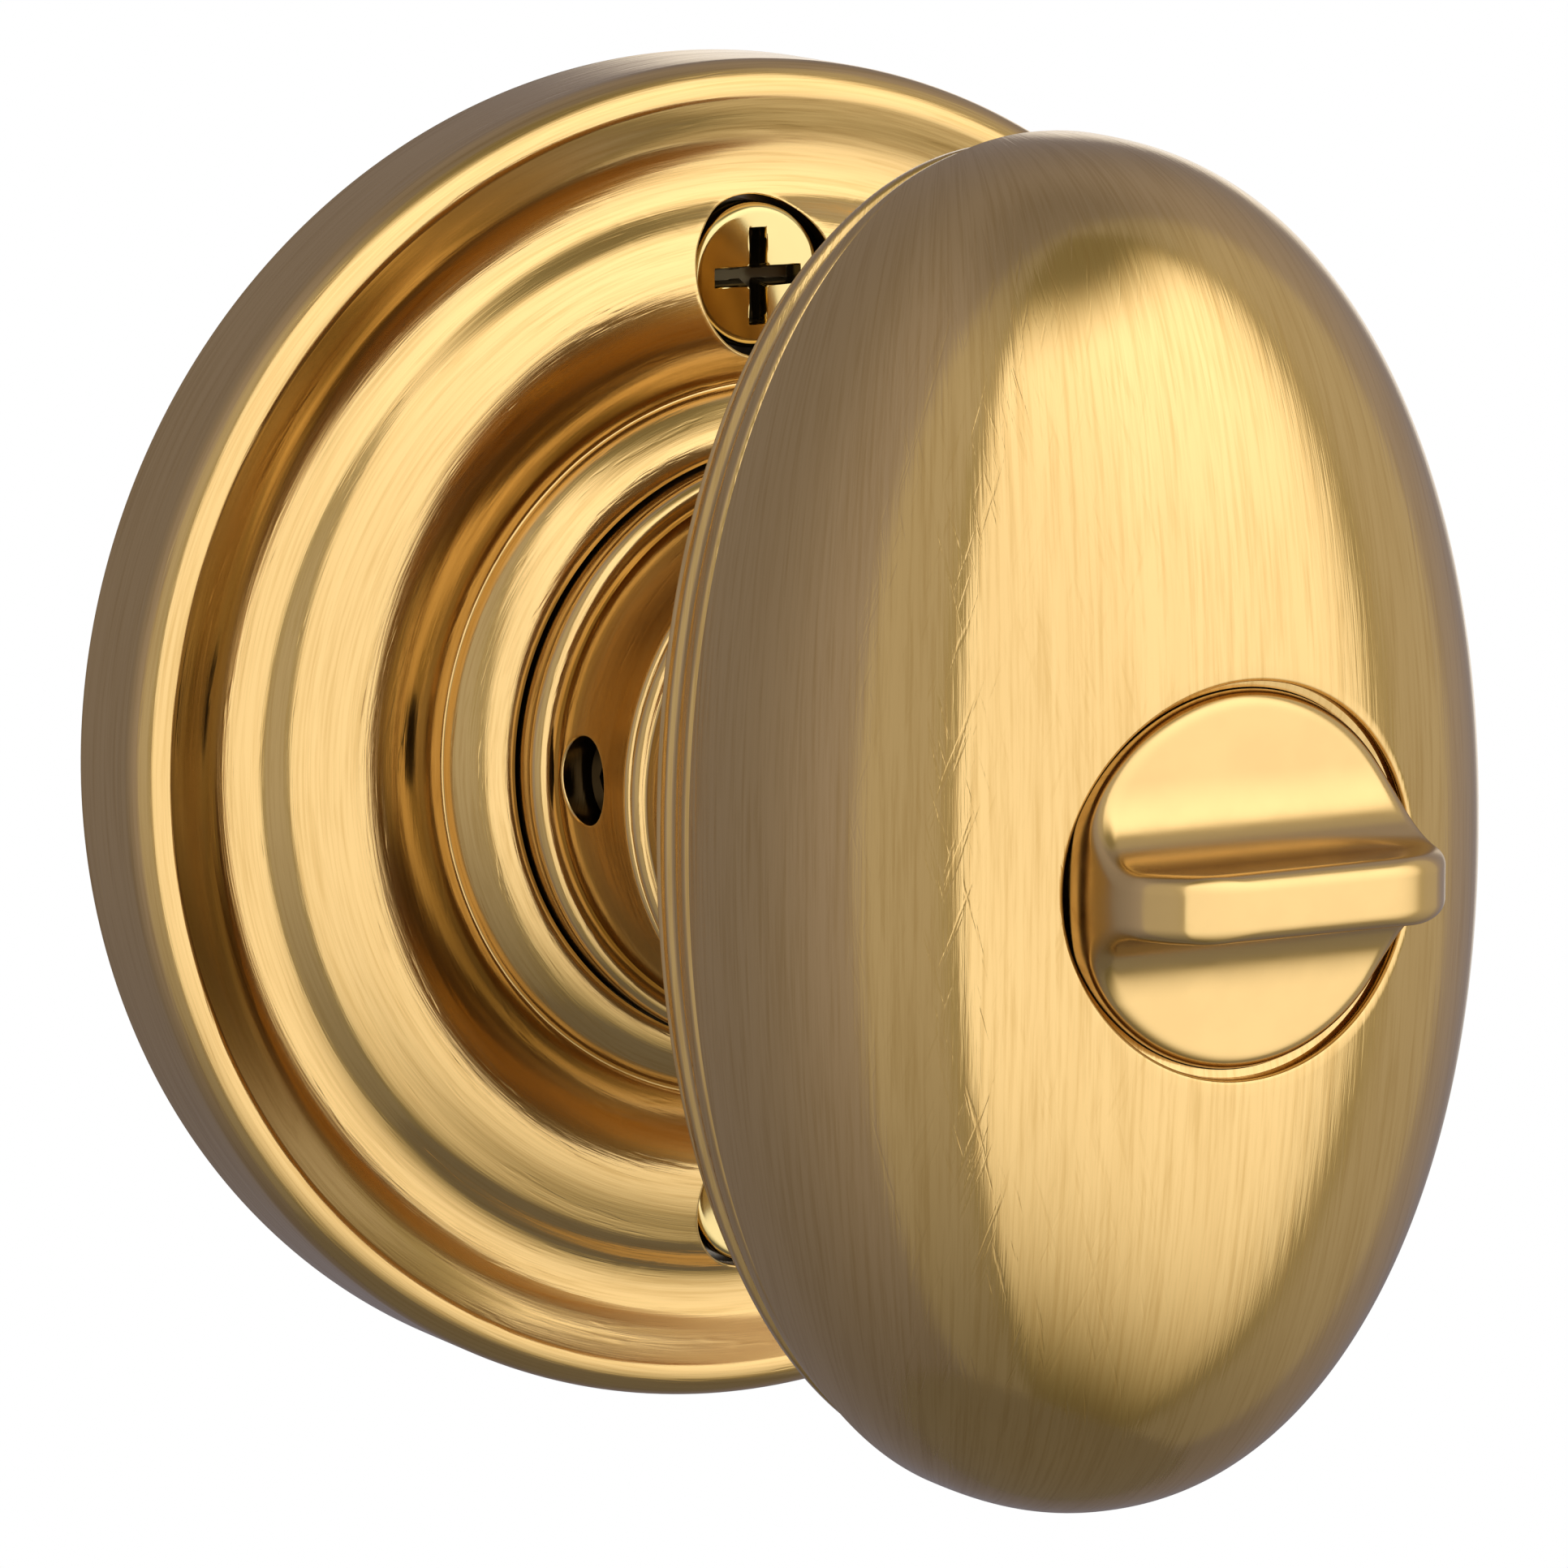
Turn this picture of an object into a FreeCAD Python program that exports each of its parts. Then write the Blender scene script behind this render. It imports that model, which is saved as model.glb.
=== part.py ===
"""Interior half of a privacy door knob: moulded rosette, stout turned neck, oval knob and thumb turn.

Frame: millimetres. The origin is the centre of the rosette's back face, which lies on the door.
+Z is up, +X is to the right and the knob's axis runs along -Y, out of the door into the room.
Heights are counted along that axis, from the door's face outwards, so a height h is at Y = -h.
"""
import FreeCAD, Part
import math
import os

Vector = FreeCAD.Vector
AXIS = Vector(0, -1, 0)

# ---- driving dimensions -------------------------------------------------------------------
RUN = 0.05                  # radial clearance of a running fit
SLIP = 0.3                  # gap between faces that pass each other
SEAT = 0.1                  # axial play between stacked washers

# rosette cover
ROSE_R = 35.0
ROSE_WALL = 1.2
CREST_RADIUS = 1.8          # rounding of the outer rim
CREST_H = 7.1
GROOVE_H = 6.0
SWELL_H = 9.1
COLLAR_R = 18.6             # foot of the raised collar round the neck
COLLAR_H = 10.5
COLLAR_FOOT_H = 8.55
OPENING_R = 15.9            # hole for the neck

# liner plate behind the cover
LINER_WALL = 2.0
LINER_BACK_H = 1.2
LINER_FRONT_H = 3.0
BOSS_R = 5.0
BOSS_H = 4.2

# mounting screws
SCREW_SPACING = 48.0
SCREW_R = 2.1
SCREW_REACH = 32.0          # how far the shanks stand out behind the door face
SHOULDER_R = 2.15           # plain length of the shank under the head
SHOULDER_END_H = -0.5
HEAD_R = 3.75
HEAD_H = 2.4
HEAD_SEAT_R = 4.1           # hole in the cover round each head
RECESS_LONG = 5.0
RECESS_WIDE = 1.0
RECESS_DEEP = 1.5

# hub, bush and stack behind them
HUB_R = 10.0
HUB_STAND_OUT = 0.7         # hub's end past the back of the spring cup
HUB_FRONT_H = 23.8
HUB_FLANGE_R = 13.0
HUB_FLANGE_T = 1.4
BUSH_WALL = 2.0
BUSH_FLANGE_T = 0.8
BUSH_REAR_H = -1.0
WASHER_T = 0.9
RING_T = 1.0
RING_GROOVE = 0.8

# return spring, cam and cup
CAM_T = 3.0
CAM_RING_W = 2.6
CAM_EAR_R = 19.0
CAM_EAR_HALF_DEG = 12.0
TANG_HALF_DEG = 4.5
TANG_IN_R = 15.6
TANG_OUT_R = 17.2
SWING_DEG = 55.0            # knob's travel each way
STOP_PIN_R = 1.5
STOP_CIRCLE_R = 17.5
WIRE_R = 0.75
COIL_R = 12.6
COIL_TURNS = 3
COIL_PITCH = 1.7
LEG_HALF_DEG = 9.0
CUP_R = 20.6
CUP_WALL = 1.0
LUG_R = 2.6
RIVET_R = 1.3
RIVET_HEAD_R = 2.2
RIVET_HEAD_T = 0.8

# neck
NECK_FOOT_R = 15.5
NECK_FOOT_H = 9.9
NECK_WAIST_R = 13.9
NECK_TOP_R = 17.0
NECK_TOP_H = 31.4
SPIGOT_R = 12.0
SPIGOT_LENGTH = 3.4
NUT_WIDE = 3.2
NUT_T = 1.6
KEY_HOLE_R = 2.15
KEY_HOLE_H = 15.6
SET_SCREW_R = 2.0
SET_SCREW_LENGTH = 2.9
HEX_ACROSS = 2.0

# knob shells
KNOB_HALF_WIDTH = 19.7
KNOB_HALF_HEIGHT = 34.0
RIM_H = 36.6                # seam between the front and rear shells
DOME_DEPTH = 19.6
DOME_POWER = 2.75           # 2 would be an ellipse, more is squarer at the shoulder
SHELL_WALL = 1.6
STEP_DEPTH = 0.35           # depth of the grooves round the rear rim

# thumb turn
TURN_R = 9.15
TURN_GAP = 0.45
TURN_FACE_H = 55.9
GRIP_TOP_H = 62.6
GRIP_HALF_THICK = 1.65
GRIP_TOP_HALF_LENGTH = 7.0
GRIP_SHOULDER_H = 58.2
SCOOP_R = 3.0
PLUG_BACK_H = 51.0
BEVEL = 0.35
GUIDE_WALL = 1.1
GUIDE_FLOOR_T = 1.0
STEM_R = 4.0
STEM_LENGTH = 7.5
SHAFT_R = 2.4
SHAFT_REAR_H = 21.0
CORE_WALL = 1.6
TURN_BUSH_T = 1.6
CLIP_T = 0.7
CLIP_GROOVE = 0.6

# spindle and turn blade
SPINDLE_SIDE = 8.0
SPINDLE_WALL = 1.0
SPINDLE_REACH = 48.0
SPINDLE_FRONT_H = 18.0
SPINDLE_FIT = 0.04
BLADE_WIDE = 4.6
BLADE_THICK = 1.6
BLADE_REACH = 50.0
BLADE_GRIP = 5.0            # length of the blade held in the shaft

# ---- sizes worked out from them ---------------------------------------------------------------
OVAL = KNOB_HALF_HEIGHT / KNOB_HALF_WIDTH
SCREW_R_PLACE = SCREW_SPACING / 2
LINER_R = ROSE_R - ROSE_WALL - RUN
BUSH_R = HUB_R + RUN + BUSH_WALL
BUSH_FLANGE_H = LINER_FRONT_H + BUSH_FLANGE_T
WASHER_H = BUSH_FLANGE_H + SEAT
HUB_FLANGE_H = WASHER_H + WASHER_T + SEAT
RING_H = BUSH_REAR_H - SLIP - RING_T
CAM_FRONT_H = RING_H - SLIP
CAM_REAR_H = CAM_FRONT_H - CAM_T
COIL_FRONT_H = CAM_REAR_H - SLIP - WIRE_R
COIL_REAR_H = COIL_FRONT_H - COIL_PITCH * (COIL_TURNS + LEG_HALF_DEG / 180)
CUP_FLOOR_H = COIL_REAR_H - WIRE_R - SLIP - CUP_WALL
HUB_REAR_H = CUP_FLOOR_H - HUB_STAND_OUT
TURN_HOLE_R = TURN_R + TURN_GAP
GUIDE_R = TURN_R + SLIP + GUIDE_WALL
GUIDE_FLOOR_H = PLUG_BACK_H - WASHER_T - 2 * SEAT - GUIDE_FLOOR_T
STEM_END_H = PLUG_BACK_H - STEM_LENGTH
CORE_BORE_R = STEM_R + RUN + TURN_BUSH_T
CORE_R = CORE_BORE_R + CORE_WALL
APEX_H = RIM_H + DOME_DEPTH


# ---- helpers ----------------------------------------------------------------------------------
def at(r, h):
    """Point of a turned outline at radius r and height h."""
    return Vector(r, -h, 0)


def place(r, degrees, h=0.0):
    """Point at radius r, height h, degrees round from +X towards +Z."""
    angle = math.radians(degrees)
    return Vector(r * math.cos(angle), -h, r * math.sin(angle))


def line(a, b):
    return Part.makeLine(at(*a), at(*b))


def lines(points):
    return [line(a, b) for a, b in zip(points, points[1:])]


def curve(points):
    """Smooth curve through outline points."""
    spline = Part.BSplineCurve()
    spline.interpolate([at(*point) for point in points])
    return spline.toShape()


def arc(a, middle, b):
    return Part.Arc(at(*a), at(*middle), at(*b)).toShape()


def turned(edges):
    """Solid of revolution about the knob's axis of a closed outline of edges."""
    face = Part.Face(Part.Wire(Part.__sortEdges__(edges)))
    solid = face.revolve(Vector(0, 0, 0), AXIS, 360)
    return solid if solid.Volume > 0 else solid.reversed()


def turned_lines(points):
    return turned(lines(points + points[:1]))


def rod(r, low, high, x=0.0, z=0.0):
    """Round bar along the axis from height low to height high."""
    return Part.makeCylinder(r, high - low, Vector(x, -low, z), AXIS)


def ring(inner, outer, low, high):
    return rod(outer, low, high).cut(rod(inner, low - 1, high + 1))


def block(x_size, z_size, low, high, x=0.0, z=0.0):
    """Rectangular bar centred on (x, z) from height low to height high."""
    corner = Vector(x - x_size / 2, -high, z - z_size / 2)
    return Part.makeBox(x_size, high - low, z_size, corner)


def sector(inner, outer, middle_deg, half_deg, low, high):
    """Piece of a ring spanning half_deg each side of middle_deg."""
    angles = (middle_deg - half_deg, middle_deg, middle_deg + half_deg)
    outer_points = [place(outer, angle, low) for angle in angles]
    inner_points = [place(inner, angle, low) for angle in angles]
    edges = [Part.Arc(*outer_points).toShape(), Part.makeLine(outer_points[2], inner_points[2])]
    edges += [Part.Arc(*reversed(inner_points)).toShape(), Part.makeLine(inner_points[0], outer_points[0])]
    return Part.Face(Part.Wire(edges)).extrude(AXIS * (high - low))


def fuse(first, *others):
    for other in others:
        first = first.fuse(other)
    return first.removeSplitter()


def along_z(shape, factor):
    """Stretch a shape along Z, as from a circle to the knob's oval."""
    matrix = FreeCAD.Matrix()
    matrix.scale(1, 1, factor)
    return shape.transformGeometry(matrix)


# ---- rosette ------------------------------------------------------------------------------------
def moulding_points():
    """Cover's moulding from the rim's crest to the collar's foot, as radius and height."""
    shares = [(1.0, None), (0.955, 0.25), (0.912, 0.09), (0.865, 0.01), (0.784, 0.03), (0.674, 0.16)]
    shares += [(0.591, 0.34), (0.522, 0.50), (0.405, 0.73), (0.274, 0.92), (0.165, 1.0), (0.082, 0.955)]
    crest_r = ROSE_R - CREST_RADIUS
    points = []
    for across, up in shares:
        r = COLLAR_R + across * (crest_r - COLLAR_R)
        h = CREST_H if up is None else GROOVE_H + up * (SWELL_H - GROOVE_H)
        points.append((r, h))
    points.append((COLLAR_R + 0.1, COLLAR_FOOT_H))
    return points


def collar_points():
    """Raised collar from its sharp outer edge to the neck's opening."""
    shares = [(1.0, 0.22), (0.93, 0.31), (0.82, 0.35), (0.68, 0.50), (0.5, 0.76), (0.33, 0.95), (0.17, 1.0), (0.0, 0.9)]
    width = COLLAR_R - OPENING_R
    rise = COLLAR_H - COLLAR_FOOT_H
    return [(OPENING_R + across * width, COLLAR_FOOT_H + up * rise) for across, up in shares]


def rim_arc(radius):
    """Quarter round of the rim, from the side wall to the crest."""
    centre_r = ROSE_R - CREST_RADIUS
    centre_h = CREST_H - CREST_RADIUS
    middle = radius * math.sqrt(0.5)
    return (centre_r + radius, centre_h), (centre_r + middle, centre_h + middle), (centre_r, centre_h + radius)


def rose_cover():
    moulding = moulding_points()
    collar = collar_points()
    low_moulding = [(r, h - ROSE_WALL) for r, h in moulding]
    low_collar = [(r, h - ROSE_WALL) for r, h in collar]
    outer_rim = rim_arc(CREST_RADIUS)
    inner_rim = rim_arc(CREST_RADIUS - ROSE_WALL)
    edges = [line((ROSE_R, 0), outer_rim[0]), arc(*outer_rim), curve(moulding)]
    edges += [line(moulding[-1], collar[0]), curve(collar), line(collar[-1], low_collar[-1])]
    edges += [curve(low_collar), line(low_collar[0], low_moulding[-1]), curve(low_moulding)]
    edges += [arc(*inner_rim), line(inner_rim[0], (inner_rim[0][0], 0)), line((inner_rim[0][0], 0), (ROSE_R, 0))]
    cover = turned(edges)
    for side in (1, -1):
        cover = cover.cut(rod(HEAD_SEAT_R, -1, SWELL_H + 5, z=side * SCREW_R_PLACE))
    return cover


def rose_liner():
    plate = ring(BUSH_R, LINER_R, LINER_BACK_H, LINER_FRONT_H)
    plate = fuse(plate, ring(LINER_R - LINER_WALL, LINER_R, 0, LINER_FRONT_H))
    for side in (1, -1):
        z = side * SCREW_R_PLACE
        plate = fuse(plate, rod(BOSS_R, LINER_BACK_H, BOSS_H, z=z))
        plate = plate.cut(rod(SHOULDER_R + SEAT, -1, BOSS_H + 1, z=z))
        rivet = place(rivet_circle(), 90 - side * 90)
        plate = plate.cut(rod(RIVET_R, -1, BOSS_H, x=rivet.x))
        pin = stop_pin_place(side)
        plate = plate.cut(rod(STOP_PIN_R, -1, BOSS_H, x=pin.x, z=pin.z))
    return plate


def hub_bush():
    sleeve = ring(HUB_R + RUN, BUSH_R, BUSH_REAR_H, BUSH_FLANGE_H)
    return fuse(sleeve, ring(HUB_R + RUN, BUSH_R + BUSH_WALL, LINER_FRONT_H, BUSH_FLANGE_H))


def mounting_screw(z):
    """Pan-head screw: shank, domed head and a tapered cross recess."""
    shank = rod(SCREW_R, -SCREW_REACH, SHOULDER_END_H, z=z)
    shoulder = rod(SHOULDER_R, SHOULDER_END_H, BOSS_H, z=z)
    side_h = BOSS_H + 0.45 * HEAD_H
    top_h = BOSS_H + HEAD_H
    crown = ((0, top_h), (HEAD_R * 0.62, top_h - 0.3 * HEAD_H * 0.5), (HEAD_R, side_h))
    edges = [line((0, BOSS_H), (HEAD_R, BOSS_H)), line((HEAD_R, BOSS_H), (HEAD_R, side_h))]
    edges += [arc(*crown), line((0, top_h), (0, BOSS_H))]
    head = turned(edges)
    floor_h = top_h - RECESS_DEEP
    for x_size, z_size in ((RECESS_LONG, RECESS_WIDE), (RECESS_WIDE, RECESS_LONG)):
        head = head.cut(block(x_size, z_size, floor_h, top_h + 1))
    head.translate(Vector(0, 0, z))
    return fuse(shank, shoulder, head)


def mounting_screws():
    return Part.makeCompound([mounting_screw(side * SCREW_R_PLACE) for side in (1, -1)])


# ---- spring cage behind the plate -------------------------------------------------------------
def rivet_circle():
    return CUP_R + RIVET_HEAD_R


def stop_pin_place(side):
    """Pin that the cam's ear meets at the end of the knob's travel on one side."""
    pin_half_deg = math.degrees(math.asin((STOP_PIN_R + SEAT) / STOP_CIRCLE_R))
    return place(STOP_CIRCLE_R, 90 + side * (SWING_DEG + CAM_EAR_HALF_DEG + pin_half_deg + 1))


def stop_pins():
    places = [stop_pin_place(side) for side in (1, -1)]
    return Part.makeCompound([rod(STOP_PIN_R, CAM_REAR_H, LINER_FRONT_H, p.x, p.z) for p in places])


def spring_cup():
    wall = ring(CUP_R - CUP_WALL, CUP_R, CUP_FLOOR_H, LINER_BACK_H)
    floor = ring(HUB_R + SLIP, CUP_R, CUP_FLOOR_H, CUP_FLOOR_H + CUP_WALL)
    post_front_h = COIL_FRONT_H + WIRE_R
    post = sector(TANG_OUT_R + 2 * SLIP, CUP_R - CUP_WALL / 2, 90, TANG_HALF_DEG, CUP_FLOOR_H, post_front_h)
    cup = fuse(wall, floor, post)
    for side in (1, -1):
        x = side * rivet_circle()
        lug = rod(LUG_R, LINER_BACK_H - CUP_WALL, LINER_BACK_H, x=x)
        bridge = block(LUG_R, 2 * LUG_R, LINER_BACK_H - CUP_WALL, LINER_BACK_H, x=x - side * LUG_R / 2)
        cup = fuse(cup, lug, bridge.cut(rod(CUP_R - CUP_WALL / 2, -2, LINER_FRONT_H)))
        cup = cup.cut(rod(RIVET_R, -2, LINER_FRONT_H, x=x))
    return cup


def rivet(x):
    back_h = LINER_BACK_H - CUP_WALL
    shank = rod(RIVET_R, back_h, LINER_FRONT_H, x=x)
    front_head = rod(RIVET_HEAD_R, LINER_FRONT_H, LINER_FRONT_H + RIVET_HEAD_T, x=x)
    return fuse(shank, front_head, rod(RIVET_HEAD_R, back_h - RIVET_HEAD_T, back_h, x=x))


def cup_rivets():
    return Part.makeCompound([rivet(side * rivet_circle()) for side in (1, -1)])


def return_spring():
    """Torsion spring: coils round the hub and two straight legs either side of the cam's tang."""
    sweep_turns = COIL_TURNS + LEG_HALF_DEG / 180
    helix = Part.makeHelix(COIL_PITCH, COIL_PITCH * sweep_turns, COIL_R)
    section = Part.Wire(Part.makeCircle(WIRE_R, Vector(COIL_R, 0, 0), Vector(0, 1, 0)))
    coil = Part.Wire(helix).makePipeShell([section], True, True)
    coil.rotate(Vector(0, 0, 0), Vector(1, 0, 0), 90)
    coil.rotate(Vector(0, 0, 0), Vector(0, 1, 0), -(90 - LEG_HALF_DEG))
    coil.translate(Vector(0, -COIL_REAR_H, 0))
    leg_length = CUP_R - CUP_WALL - SLIP - COIL_R
    legs = []
    for angle, h in ((90 - LEG_HALF_DEG, COIL_REAR_H), (90 + LEG_HALF_DEG, COIL_FRONT_H)):
        legs.append(Part.makeCylinder(WIRE_R, leg_length, place(COIL_R, angle, h), place(1, angle)))
    return fuse(coil, *legs)


def drive_cam():
    cam = ring(HUB_R, HUB_R + CAM_RING_W, CAM_REAR_H, CAM_FRONT_H)
    ear_foot = HUB_R + CAM_RING_W / 2
    ear = sector(ear_foot, CAM_EAR_R, 90, CAM_EAR_HALF_DEG, CAM_REAR_H, CAM_FRONT_H)
    tang = sector(TANG_IN_R, TANG_OUT_R, 90, TANG_HALF_DEG, COIL_REAR_H - WIRE_R, CAM_FRONT_H)
    return fuse(cam, ear, tang)


# ---- hub and spindle --------------------------------------------------------------------------
def knob_hub():
    hub = rod(HUB_R, HUB_REAR_H, HUB_FRONT_H)
    hub = fuse(hub, rod(HUB_FLANGE_R, HUB_FLANGE_H, HUB_FLANGE_H + HUB_FLANGE_T))
    hub = hub.cut(ring(HUB_R - RING_GROOVE, HUB_R + 1, RING_H, RING_H + RING_T))
    bore = SPINDLE_SIDE + 2 * SPINDLE_FIT
    hub = hub.cut(block(bore, bore, HUB_REAR_H - 1, SPINDLE_FRONT_H))
    return hub.cut(rod(SHAFT_R + SLIP, SPINDLE_FRONT_H - 1, HUB_FRONT_H + 1))


def retaining_ring():
    """Open spring ring in the hub's groove."""
    ends = sector(HUB_R - 3, HUB_R + 4, -90, 12, RING_H - 1, RING_H + RING_T + 1)
    return ring(HUB_R - RING_GROOVE, HUB_R + BUSH_WALL, RING_H, RING_H + RING_T).cut(ends)


def thrust_washer():
    return ring(HUB_R + RUN, HUB_FLANGE_R, WASHER_H, WASHER_H + WASHER_T)


def spindle():
    outer = block(SPINDLE_SIDE, SPINDLE_SIDE, -SPINDLE_REACH, SPINDLE_FRONT_H - SEAT)
    inside = SPINDLE_SIDE - 2 * SPINDLE_WALL
    long_edges = [edge for edge in outer.Edges if edge.Length > SPINDLE_REACH]
    outer = outer.makeFillet(SPINDLE_WALL / 2, long_edges)
    return outer.cut(block(inside, inside, -SPINDLE_REACH - 1, SPINDLE_FRONT_H + 1))


# ---- neck -------------------------------------------------------------------------------------
def neck_outline():
    """Neck's outside from its foot in the rosette to its seat under the knob."""
    foot = NECK_FOOT_R
    waist = NECK_WAIST_R
    base = NECK_FOOT_H
    top = NECK_TOP_H
    flange = [(foot, base + 0.8), (foot - 0.2, base + 1.7), (foot - 0.5, base + 2.5), (foot - 0.7, base + 2.8)]
    bead = [(foot - 0.7, base + 2.8), (foot - 0.75, base + 3.1), (waist + 0.25, base + 3.7), (waist, base + 5.0)]
    bead += [(waist, base + 7.5), (waist + 0.15, base + 9.0), (waist + 0.3, base + 9.6)]
    upper = [(waist + 0.3, base + 9.6), (waist + 0.5, base + 10.0), (waist + 0.2, base + 10.5)]
    second = [(waist + 0.2, base + 10.5), (waist + 0.6, base + 11.1), (waist + 0.2, base + 11.7)]
    flare = [(waist + 0.2, base + 11.7), (waist + 0.5, base + 15.0), (NECK_TOP_R - 0.9, top - 1.9), (NECK_TOP_R, top)]
    return flange, bead, upper, second, flare


def knob_neck():
    stretches = neck_outline()
    bore_top_h = HUB_FRONT_H + SEAT
    spigot_h = NECK_TOP_H + SPIGOT_LENGTH
    inner_r = CORE_R + RUN
    bore_r = HUB_R + RUN
    edges = [curve(stretch) for stretch in stretches]
    top = [(NECK_TOP_R, NECK_TOP_H), (SPIGOT_R, NECK_TOP_H), (SPIGOT_R, spigot_h), (inner_r, spigot_h)]
    top += [(inner_r, bore_top_h), (bore_r, bore_top_h), (bore_r, NECK_FOOT_H), (NECK_FOOT_R, NECK_FOOT_H)]
    top += [stretches[0][0]]
    neck = turned(edges + lines(top))
    key_hole = Part.makeCylinder(KEY_HOLE_R, NECK_FOOT_R, place(0, 0, KEY_HOLE_H), Vector(-1, 0, 0))
    return neck.cut(key_hole)


def neck_set_screw():
    """Headless screw with a hex socket that clamps the neck to the hub."""
    screw = Part.makeCylinder(SET_SCREW_R, SET_SCREW_LENGTH, Vector(-HUB_R, -KEY_HOLE_H, 0), Vector(-1, 0, 0))
    corner_r = HEX_ACROSS / math.sqrt(3)
    points = []
    for corner in range(7):
        angle = math.radians(60 * corner)
        points.append(Vector(-HUB_R - 1, -KEY_HOLE_H + corner_r * math.cos(angle), corner_r * math.sin(angle)))
    socket = Part.Face(Part.makePolygon(points)).extrude(Vector(-SET_SCREW_LENGTH, 0, 0))
    return screw.cut(socket)


def neck_nut():
    """Round nut inside the knob that clamps the rear shell to the neck."""
    low = NECK_TOP_H + SHELL_WALL
    nut = ring(SPIGOT_R, SPIGOT_R + NUT_WIDE, low, low + NUT_T)
    for side in (1, -1):
        slot = block(2, 3, low - 1, low + NUT_T + 1, x=side * (SPIGOT_R + NUT_WIDE))
        nut = nut.cut(slot)
    return nut


def neck_slip_ring():
    """Thin nylon ring under the neck's foot."""
    return ring(HUB_R + RUN, NECK_FOOT_R - 2 * SLIP, NECK_FOOT_H - WASHER_T, NECK_FOOT_H)


# ---- knob shells --------------------------------------------------------------------------------
def dome_points(half_width, depth, count=9):
    """Quarter of a superellipse from the rim to the apex: (r/a)^p + (h/c)^p = 1."""
    points = []
    for i in range(count):
        angle = math.pi / 2 * i / (count - 1)
        r = half_width * math.cos(angle) ** (2 / DOME_POWER)
        h = depth * math.sin(angle) ** (2 / DOME_POWER)
        points.append((r if i < count - 1 else 0.0, RIM_H + h))
    return points


def turn_hole_cutter():
    """Round hole with a bevelled edge, pressed narrower along Z because the shell is stretched after it."""
    bevel_h = hole_edge_height() - BEVEL
    top_h = APEX_H + 1
    mouth_r = TURN_HOLE_R + top_h - bevel_h
    cutter = turned_lines([(0, RIM_H), (TURN_HOLE_R, RIM_H), (TURN_HOLE_R, bevel_h), (mouth_r, top_h), (0, top_h)])
    return along_z(cutter, 1 / OVAL)


def knob_front_shell():
    outside = dome_points(KNOB_HALF_WIDTH, DOME_DEPTH)
    inside = dome_points(KNOB_HALF_WIDTH - SHELL_WALL, DOME_DEPTH - SHELL_WALL)
    edges = [curve(outside), line(outside[-1], inside[-1]), curve(inside), line(inside[0], outside[0])]
    return along_z(turned(edges).cut(turn_hole_cutter()), OVAL)


def hole_edge_height():
    """Mean height of the dome's surface round the turn's hole."""
    side = (TURN_HOLE_R / KNOB_HALF_WIDTH) ** DOME_POWER
    end = (TURN_HOLE_R / KNOB_HALF_HEIGHT) ** DOME_POWER
    return RIM_H + DOME_DEPTH * ((1 - side) ** (1 / DOME_POWER) + (1 - end) ** (1 / DOME_POWER)) / 2


def knob_rear_shell():
    """Pan that closes the knob's back, with three beads round its rim."""
    a = KNOB_HALF_WIDTH - 0.2
    groove = STEP_DEPTH
    low = NECK_TOP_H
    span = RIM_H - low
    rim = [(a, RIM_H), (a - groove, low + 0.88 * span), (a - 0.1, low + 0.78 * span), (a - 0.15, low + 0.62 * span)]
    rim += [(a - 0.2 - groove, low + 0.48 * span), (a - 0.15 - groove, low + 0.36 * span)]
    rim += [(a - 0.4, low + 0.27 * span), (a - 0.4 - groove, low + 0.15 * span), (a - 0.55, low + 0.07 * span)]
    rim += [(a - 0.9, low)]
    inside = a - 0.4 - groove - SHELL_WALL
    back = [(SPIGOT_R, low), (SPIGOT_R, low + SHELL_WALL), (inside, low + SHELL_WALL), (inside, RIM_H), (a, RIM_H)]
    pan = turned(lines(rim + back))
    stretched = along_z(pan.fuse(rod(SPIGOT_R + 1, low, low + SHELL_WALL)), OVAL)
    return stretched.cut(rod(SPIGOT_R, low - 1, low + SHELL_WALL + 1))


# ---- thumb turn -------------------------------------------------------------------------------
def knob_core():
    """Tube inside the knob from the neck to the guide cup, which carries the turn's bush."""
    tube = ring(CORE_BORE_R, CORE_R, HUB_FRONT_H + 2 * SEAT, GUIDE_FLOOR_H)
    seat_h = NECK_TOP_H + SPIGOT_LENGTH
    return fuse(tube, ring(CORE_BORE_R, SPIGOT_R, seat_h, seat_h + SHELL_WALL))


def turn_guide_cup():
    floor = ring(STEM_R + SLIP, GUIDE_R, GUIDE_FLOOR_H, GUIDE_FLOOR_H + GUIDE_FLOOR_T)
    wall_top_h = APEX_H - SHELL_WALL - 2.2
    return fuse(floor, ring(GUIDE_R - GUIDE_WALL, GUIDE_R, GUIDE_FLOOR_H, wall_top_h))


def turn_bush():
    return ring(STEM_R + RUN, CORE_BORE_R, STEM_END_H + CLIP_T + 2 * SEAT + 1, GUIDE_FLOOR_H)


def turn_wave_washer():
    """Spring washer that gives the turn its drag."""
    low = GUIDE_FLOOR_H + GUIDE_FLOOR_T
    washer = ring(STEM_R + SLIP, STEM_R + 3.5, low, low + WASHER_T)
    bends = [rod(1.2, low - 1, low + WASHER_T / 2, p.x, p.z) for p in (place(STEM_R + 2, 60 * i) for i in range(6))]
    for bend in bends:
        washer = washer.cut(bend)
    return washer


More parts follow.
